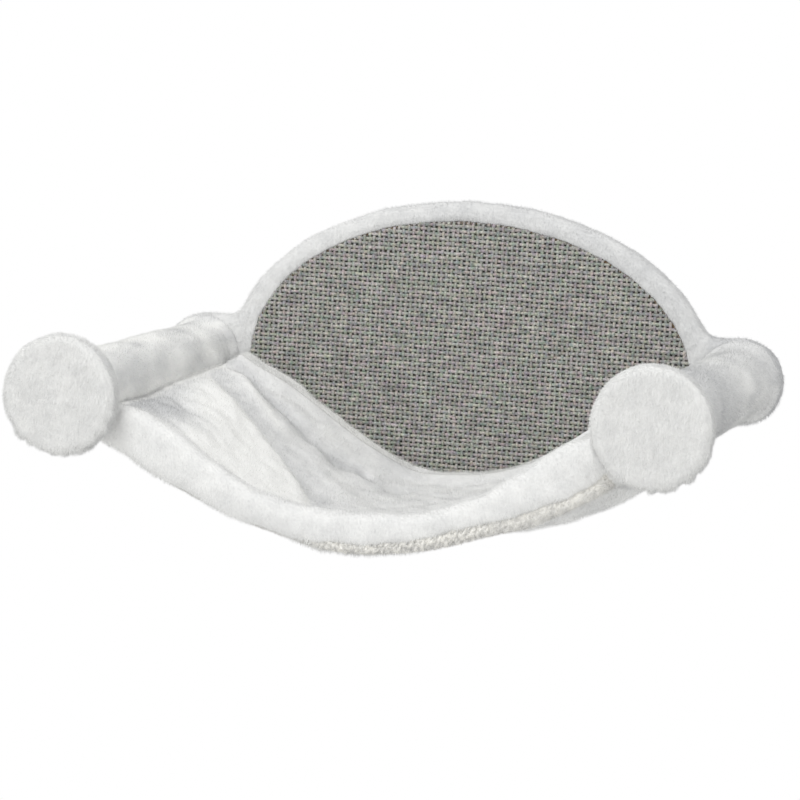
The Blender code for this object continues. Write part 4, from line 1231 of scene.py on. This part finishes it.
class CATBED_OT_rolls(bpy.types.Operator):
    """Stuff the front and rear rolls and sew the tufted seam under the front one"""
    bl_idname = "catbed.rolls"
    bl_label = "Rolls"

    COLUMNS = 210
    RUFFLES = ((0.0017, 0.026), (0.0008, 0.010), (0.0003, 0.0035))
    SEAM_GRID = (900, 30)
    SEAM_HALF_DEPTH = 0.0026
    SEAM_SHARE = 0.985              # of the span that the seam fills

    def roll(self, back, front, top_line, low_line, wraps, around, square):
        """A stuffed tube between two lines, whose ends wrap the sleeves."""
        middle = (back + front) / 2
        half_depth = (front - back) / 2 - PILE_REACH * 0.8
        wrap_middle = (wraps[0] + wraps[1]) / 2
        half_wrap = (wraps[1] - wraps[0]) / 2

        def place(across_share, turn_share):
            across = 2 * across_share - 1
            side = 1 if across > 0 else -1
            flat, tall = folded(math.tau * (turn_share % 1), 2 / square)
            depth = middle + flat * half_depth
            inner = side * min(abs(across), LAST_SECTION_SHARE)
            top = top_line(inner) - PILE_REACH * 0.8
            low = low_line(inner) + PILE_REACH * 0.3
            bare = Vector((inner * HALF_SPAN, -depth, (top + low) / 2 + tall * (top - low) / 2))
            if abs(across) <= LAST_SECTION_SHARE:
                return bare
            share = (abs(across) - LAST_SECTION_SHARE) / (1 - LAST_SECTION_SHARE)
            return bare.lerp(on_sleeve(side, wrap_middle - tall * half_wrap, depth), share)

        return tube(self.COLUMNS, around, place)

    def stuffed(self, name, bm, seed, calm, tall, nap_and_painted_light, solid):
        """Ruffle a roll away from the bowl and the sleeves, mark its pile and keep it."""
        ruffle(bm, seed, self.RUFFLES, lambda spot: ease((HALF_SPAN - abs(spot.x)) / 0.02)
               * ease(calm(spot) / 0.009))
        mark_pile(bm, lambda spot, normal: 1 if abs(spot.x) < HALF_SPAN - 0.001 else 0.6,
                  tall, nap_and_painted_light)
        piece = finished(name, bm, plush(), [solid])
        return piece

    def low_down(self, spot):
        """1 along the lower edge of the front roll where the tufts show, 0 elsewhere."""
        share = spot.x / HALF_SPAN
        return ease((front_roll_low(share) + 0.0092 - spot.z) / 0.006) * tufty(share)

    def front_nap_and_painted_light(self, spot):
        share = abs(spot.x / HALF_SPAN)
        shine = 0.72 + 0.12 * wave(spot, 0.015, 66)
        shine -= 0.06 * ease((0.55 - share) / 0.3)
        # Painted light at the ends by the sleeves and along the lower edge over the tufts, where
        # shade falls.
        return shine + 0.1 * ease((share - 0.88) / 0.08) + 0.15 * self.low_down(spot)

    def rear_nap_and_painted_light(self, spot):
        share = spot.x / HALF_SPAN
        shine = 0.80 + 0.12 * wave(spot, 0.015, 71)
        # Painted highlight along the back by the mat and on the left part.
        painted_highlight = 0.25 if -spot.y < blend(REAR_ROLL_BACK, REAR_ROLL_FRONT, 0.4) else 0
        painted_highlight += 0.35 * bump(share, -0.32, 0.26)
        # Painted shade at the ends by the sleeves and at a spot left of the middle.
        return shine + painted_highlight - 0.5 * ease((abs(share) - 0.95) / 0.04) \
            - 0.4 * bump(share, -0.24, 0.08)

    def execute(self, context):
        look = context.scene.catbed_plush
        bm = self.roll(FRONT_ROLL_BACK, FRONT_ROLL_FRONT, crest_line, front_roll_low,
                       CREST_WRAPS, 52, 2.6)
        front = self.stuffed("front_roll_plush", bm, 61, lambda spot: -spot.y - FRONT_ROLL_BACK,
                             lambda spot: 1 + 1.3 * self.low_down(spot), self.front_nap_and_painted_light,
                             "front_roll")
        grow_pile("front_roll_pile", front, plush(), look.density * 0.8, look.length, look.width,
                  (0, -0.25, -0.6), look.crush, 0.004, 61)
        bm = self.roll(REAR_ROLL_BACK, REAR_ROLL_FRONT, rear_line, rear_roll_low,
                       REAR_ROLL_WRAPS, 60, 8.0)
        rear = self.stuffed("rear_roll_plush", bm, 66, lambda spot: REAR_ROLL_FRONT + spot.y,
                            lambda spot: 1, self.rear_nap_and_painted_light, "rear_roll")
        grow_pile("rear_roll_pile", rear, plush(), look.density * 1.05, look.length * 1.15,
                  look.width, (0, -0.7, 0.1), look.crush, 0.004, 66)
        self.seam()
        return {"FINISHED"}

    def strand(self, across, share):
        """Light and dark strands of the cut edge, from 0 to 1."""
        spot = (across * HALF_SPAN - 0.5 * share * SEAM_HEIGHT, 0.9 * share * SEAM_HEIGHT, 0)
        return ease(0.5 + 1.0 * wave(spot, 0.0021, 75) + 0.5 * wave(spot, 0.0011, 76))

    def ragged(self, across):
        """How coarse the strands are: finer at the right end."""
        return 1 - 0.65 * ease((across - 0.42) / 0.2)

    def seam_spot(self, across_share, turn_share):
        across = self.SEAM_SHARE * (2 * across_share - 1)
        shown, ragged = tufty(across), self.ragged(across)
        low, high = tufted_hem(across)
        low += 0.0016
        turn = math.tau * (turn_share % 1)
        out = self.SEAM_HALF_DEPTH * math.cos(turn)
        up = folded(turn, 0.8)[1]
        if math.cos(turn) > -0.2:
            out += shown * 0.0013 * ragged * (self.strand(across, up) - 0.5)
        out -= shown * 0.0014 * ease(up)
        middle = blend((FRONT_ROLL_FRONT + FRONT_ROLL_BACK) / 2,
                       FRONT_ROLL_FRONT - 0.0040 + 0.0014 * ragged, shown)
        high += 0.010 * ease((abs(across) - 0.91) / 0.08)
        high += shown * 0.0009 * wave((across * HALF_SPAN, 0, 0), 0.0028, 93)
        return Vector((across * HALF_SPAN, -(middle + out),
                       (low + high) / 2 + (high - low) / 2 * up))

    def seam_lay(self, spot):
        across = spot.x / HALF_SPAN
        ragged = self.ragged(across)
        low, high = tufted_hem(across)
        share = (spot.z - low) / (high - low)
        strands = self.strand(across, 2 * share - 1) - 0.5
        clumps = (1 - ragged) * 0.5 * wave(spot, 0.0055, 77)
        return blend(0.6, 0.42 + 0.08 * ragged + 0.50 * share + 0.7 * ragged * strands + clumps,
                     tufty(across))

    def seam(self):
        """The cut edge of the plush under the front roll: a thick strip of upright tufts."""
        bm = tube(*self.SEAM_GRID, self.seam_spot)
        mark_pile(bm, nap_and_painted_light=self.seam_lay)
        warm = plush("plush_hem", (1.01, 0.998, 0.975))
        core = finished("seam_edge", bm, warm, ["front_seam"])
        grow_pile("seam_pile", core, warm, 3.0, 0.0018, 0.00036, (0.1, -0.5, -0.4), 1.0, 0.0018, 71)


class CATBED_OT_fittings(bpy.types.Operator):
    """Finish the bare board, the hangers, the bolts and the parts inside the cloth"""
    bl_idname = "catbed.fittings"
    bl_label = "Fittings"

    def execute(self, context):
        look = context.scene.catbed_fittings
        wood = board_effect()
        board = material("raw_fibreboard", look.board, 0.8, wood,
                         {"Dark": (0.24, 0.15, 0.08, 1)}, 0.25, 0.0004)
        card = material("wound_cardboard", (0.42, 0.29, 0.17), 0.85, wood,
                        {"Dark": (0.30, 0.19, 0.10, 1), "Fibre Scale": 500})
        pine = material("turned_pine", (0.62, 0.44, 0.24), 0.65, wood,
                        {"Dark": (0.45, 0.28, 0.13, 1), "Fibre Scale": 180})
        zinc = material("zinc_plate", look.zinc, 0.35, plate_effect(), strength=0.08,
                        distance=0.0002, Metallic=1.0)
        wadding = material("white_wadding", (0.86, 0.86, 0.86), 1.0, nap_effect(),
                           {"Shade": (0.7, 0.7, 0.7, 1)}, 0.3)
        finishes = (
            (board, ("back_board",)),
            (card, ("post_tube",)),
            (pine, ("post_rear_plug", "post_front_plug", "end_disc")),
            (zinc, ("post_insert", "post_washer", "post_bolt", "disc_screw", "hanger")),
            (wadding, ("front_roll_filling", "rear_roll_filling")),
            (bpy.data.materials["sisal_yarn"], ("sisal_mat",)),
            (plush(), ("board_cover", "arm_sleeve", "disc_cover", "hammock", "front_roll",
                       "rear_roll", "front_seam")),
        )
        for name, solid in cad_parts.items():
            finish = next(made for made, starts in finishes if name.startswith(starts))
            solid.data.materials.clear()
            solid.data.materials.append(finish)
        return {"FINISHED"}


class CATBED_OT_stage(bpy.types.Operator):
    """Set the camera, the soft lamps and the plain pale floor"""
    bl_idname = "catbed.stage"
    bl_label = "Stage"

    AZIMUTH = 0.2963
    ELEVATION = 0.119
    ROLL = 0.0198
    DISTANCE = 2.5925
    AIM = Vector((-0.0131, -0.15, -0.0119))
    LENS = 150.85
    LAMP_PLACE = Vector((-0.3, -2.1, 2.1))
    LAMP_AIM = Vector((0, -0.15, 0))
    LAMP_SIZE = 1.6
    FLOOR_RADIUS = 0.95

    def execute(self, context):
        look = context.scene.catbed_stage
        context.scene.view_settings.view_transform = "Standard"
        self.camera(context.scene)
        self.lamp(look.key)
        self.world(look.sky)
        self.floor(look.floor_drop)
        return {"FINISHED"}

    def camera(self, scene):
        back = Vector((math.sin(self.AZIMUTH) * math.cos(self.ELEVATION),
                       -math.cos(self.AZIMUTH) * math.cos(self.ELEVATION),
                       math.sin(self.ELEVATION)))
        level = Vector((math.cos(self.AZIMUTH), math.sin(self.AZIMUTH), 0))
        upright = back.cross(level)
        right = level * math.cos(self.ROLL) + upright * math.sin(self.ROLL)
        up = upright * math.cos(self.ROLL) - level * math.sin(self.ROLL)
        lens = bpy.data.cameras.new("camera")
        lens.lens = self.LENS
        lens.sensor_width = 36
        lens.sensor_fit = "HORIZONTAL"
        lens.clip_start = 0.05
        camera = linked("camera", lens)
        turned_to = Matrix((right, up, back)).transposed().to_4x4()
        camera.matrix_world = Matrix.Translation(self.AIM + back * self.DISTANCE) @ turned_to
        scene.camera = camera

    def lamp(self, power):
        light = bpy.data.lights.new("soft_box", "AREA")
        light.shape = "DISK"
        light.size = self.LAMP_SIZE
        light.energy = power
        made = linked("soft_box", light)
        made.location = self.LAMP_PLACE
        made.rotation_euler = (self.LAMP_AIM - self.LAMP_PLACE).to_track_quat("-Z", "Y").to_euler()

    def world(self, strength):
        """Even light, and plain white where the camera looks past the bed."""
        sky = bpy.data.worlds.new("room")
        sky.use_nodes = True
        own = sky.node_tree
        room = own.nodes["Background"]
        room.inputs["Color"].default_value = (1, 1, 1, 1)
        room.inputs["Strength"].default_value = strength
        white = node(own, "ShaderNodeBackground", {"Color": (1, 1, 1, 1)})
        rays = own.nodes.new("ShaderNodeLightPath").outputs
        through = math_node(own, "MAXIMUM", rays["Is Glossy Ray"], rays["Is Transmission Ray"])
        seen = math_node(own, "MAXIMUM", rays["Is Camera Ray"], through)
        choice = node(own, "ShaderNodeMixShader", {0: seen, 1: room.outputs[0],
                                                   2: white.outputs[0]})
        own.links.new(choice.outputs[0], own.nodes["World Output"].inputs["Surface"])
        bpy.context.scene.world = sky

    def floor(self, drop):
        bm = bmesh.new()
        bmesh.ops.create_circle(bm, cap_ends=True, segments=96, radius=self.FLOOR_RADIUS)
        bmesh.ops.translate(bm, verts=bm.verts, vec=(0, -0.15, -drop))
        mesh = bpy.data.meshes.new("floor")
        bm.to_mesh(mesh)
        bm.free()
        surface = material("pale_floor", (0.91, 0.91, 0.90), 0.8, nap_effect(),
                           {"Shade": (0.88, 0.88, 0.87, 1)})
        made_object("floor", mesh, surface)


class CATBED_PT_bed(bpy.types.Panel):
    """The bed's pieces and their settings"""
    bl_idname = "CATBED_PT_bed"
    bl_label = "Cat Bed"
    bl_space_type = "VIEW_3D"
    bl_region_type = "UI"
    bl_category = "Cat Bed"

    def draw(self, context):
        layout = self.layout
        for made in PIECES:
            layout.operator(made.bl_idname)
        for name in SETTINGS:
            group = getattr(context.scene, name)
            for field in group.bl_rna.properties:
                if field.identifier not in ("rna_type", "name"):
                    layout.prop(group, field.identifier)


SETTINGS = {
    "catbed_plush": PlushSettings,
    "catbed_sisal": SisalSettings,
    "catbed_hammock": HammockSettings,
    "catbed_fittings": FittingSettings,
    "catbed_stage": StageSettings,
}
PIECES = (
    CATBED_OT_board_cover,
    CATBED_OT_sisal_mat,
    CATBED_OT_post_sleeves,
    CATBED_OT_disc_covers,
    CATBED_OT_hammock,
    CATBED_OT_rolls,
    CATBED_OT_fittings,
    CATBED_OT_stage,
)
CLASSES = (*SETTINGS.values(), *PIECES, CATBED_PT_bed)


def register():
    for made in CLASSES:
        bpy.utils.register_class(made)
    for name, group in SETTINGS.items():
        setattr(bpy.types.Scene, name, bpy.props.PointerProperty(type=group))


def unregister():
    for name in SETTINGS:
        delattr(bpy.types.Scene, name)
    for made in reversed(CLASSES):
        bpy.utils.unregister_class(made)


def main():
    register()
    bpy.ops.catbed.board_cover()
    bpy.ops.catbed.sisal_mat()
    bpy.ops.catbed.post_sleeves()
    bpy.ops.catbed.disc_covers()
    bpy.ops.catbed.hammock()
    bpy.ops.catbed.rolls()
    bpy.ops.catbed.fittings()
    bpy.ops.catbed.stage()


if __name__ == "__main__":
    main()
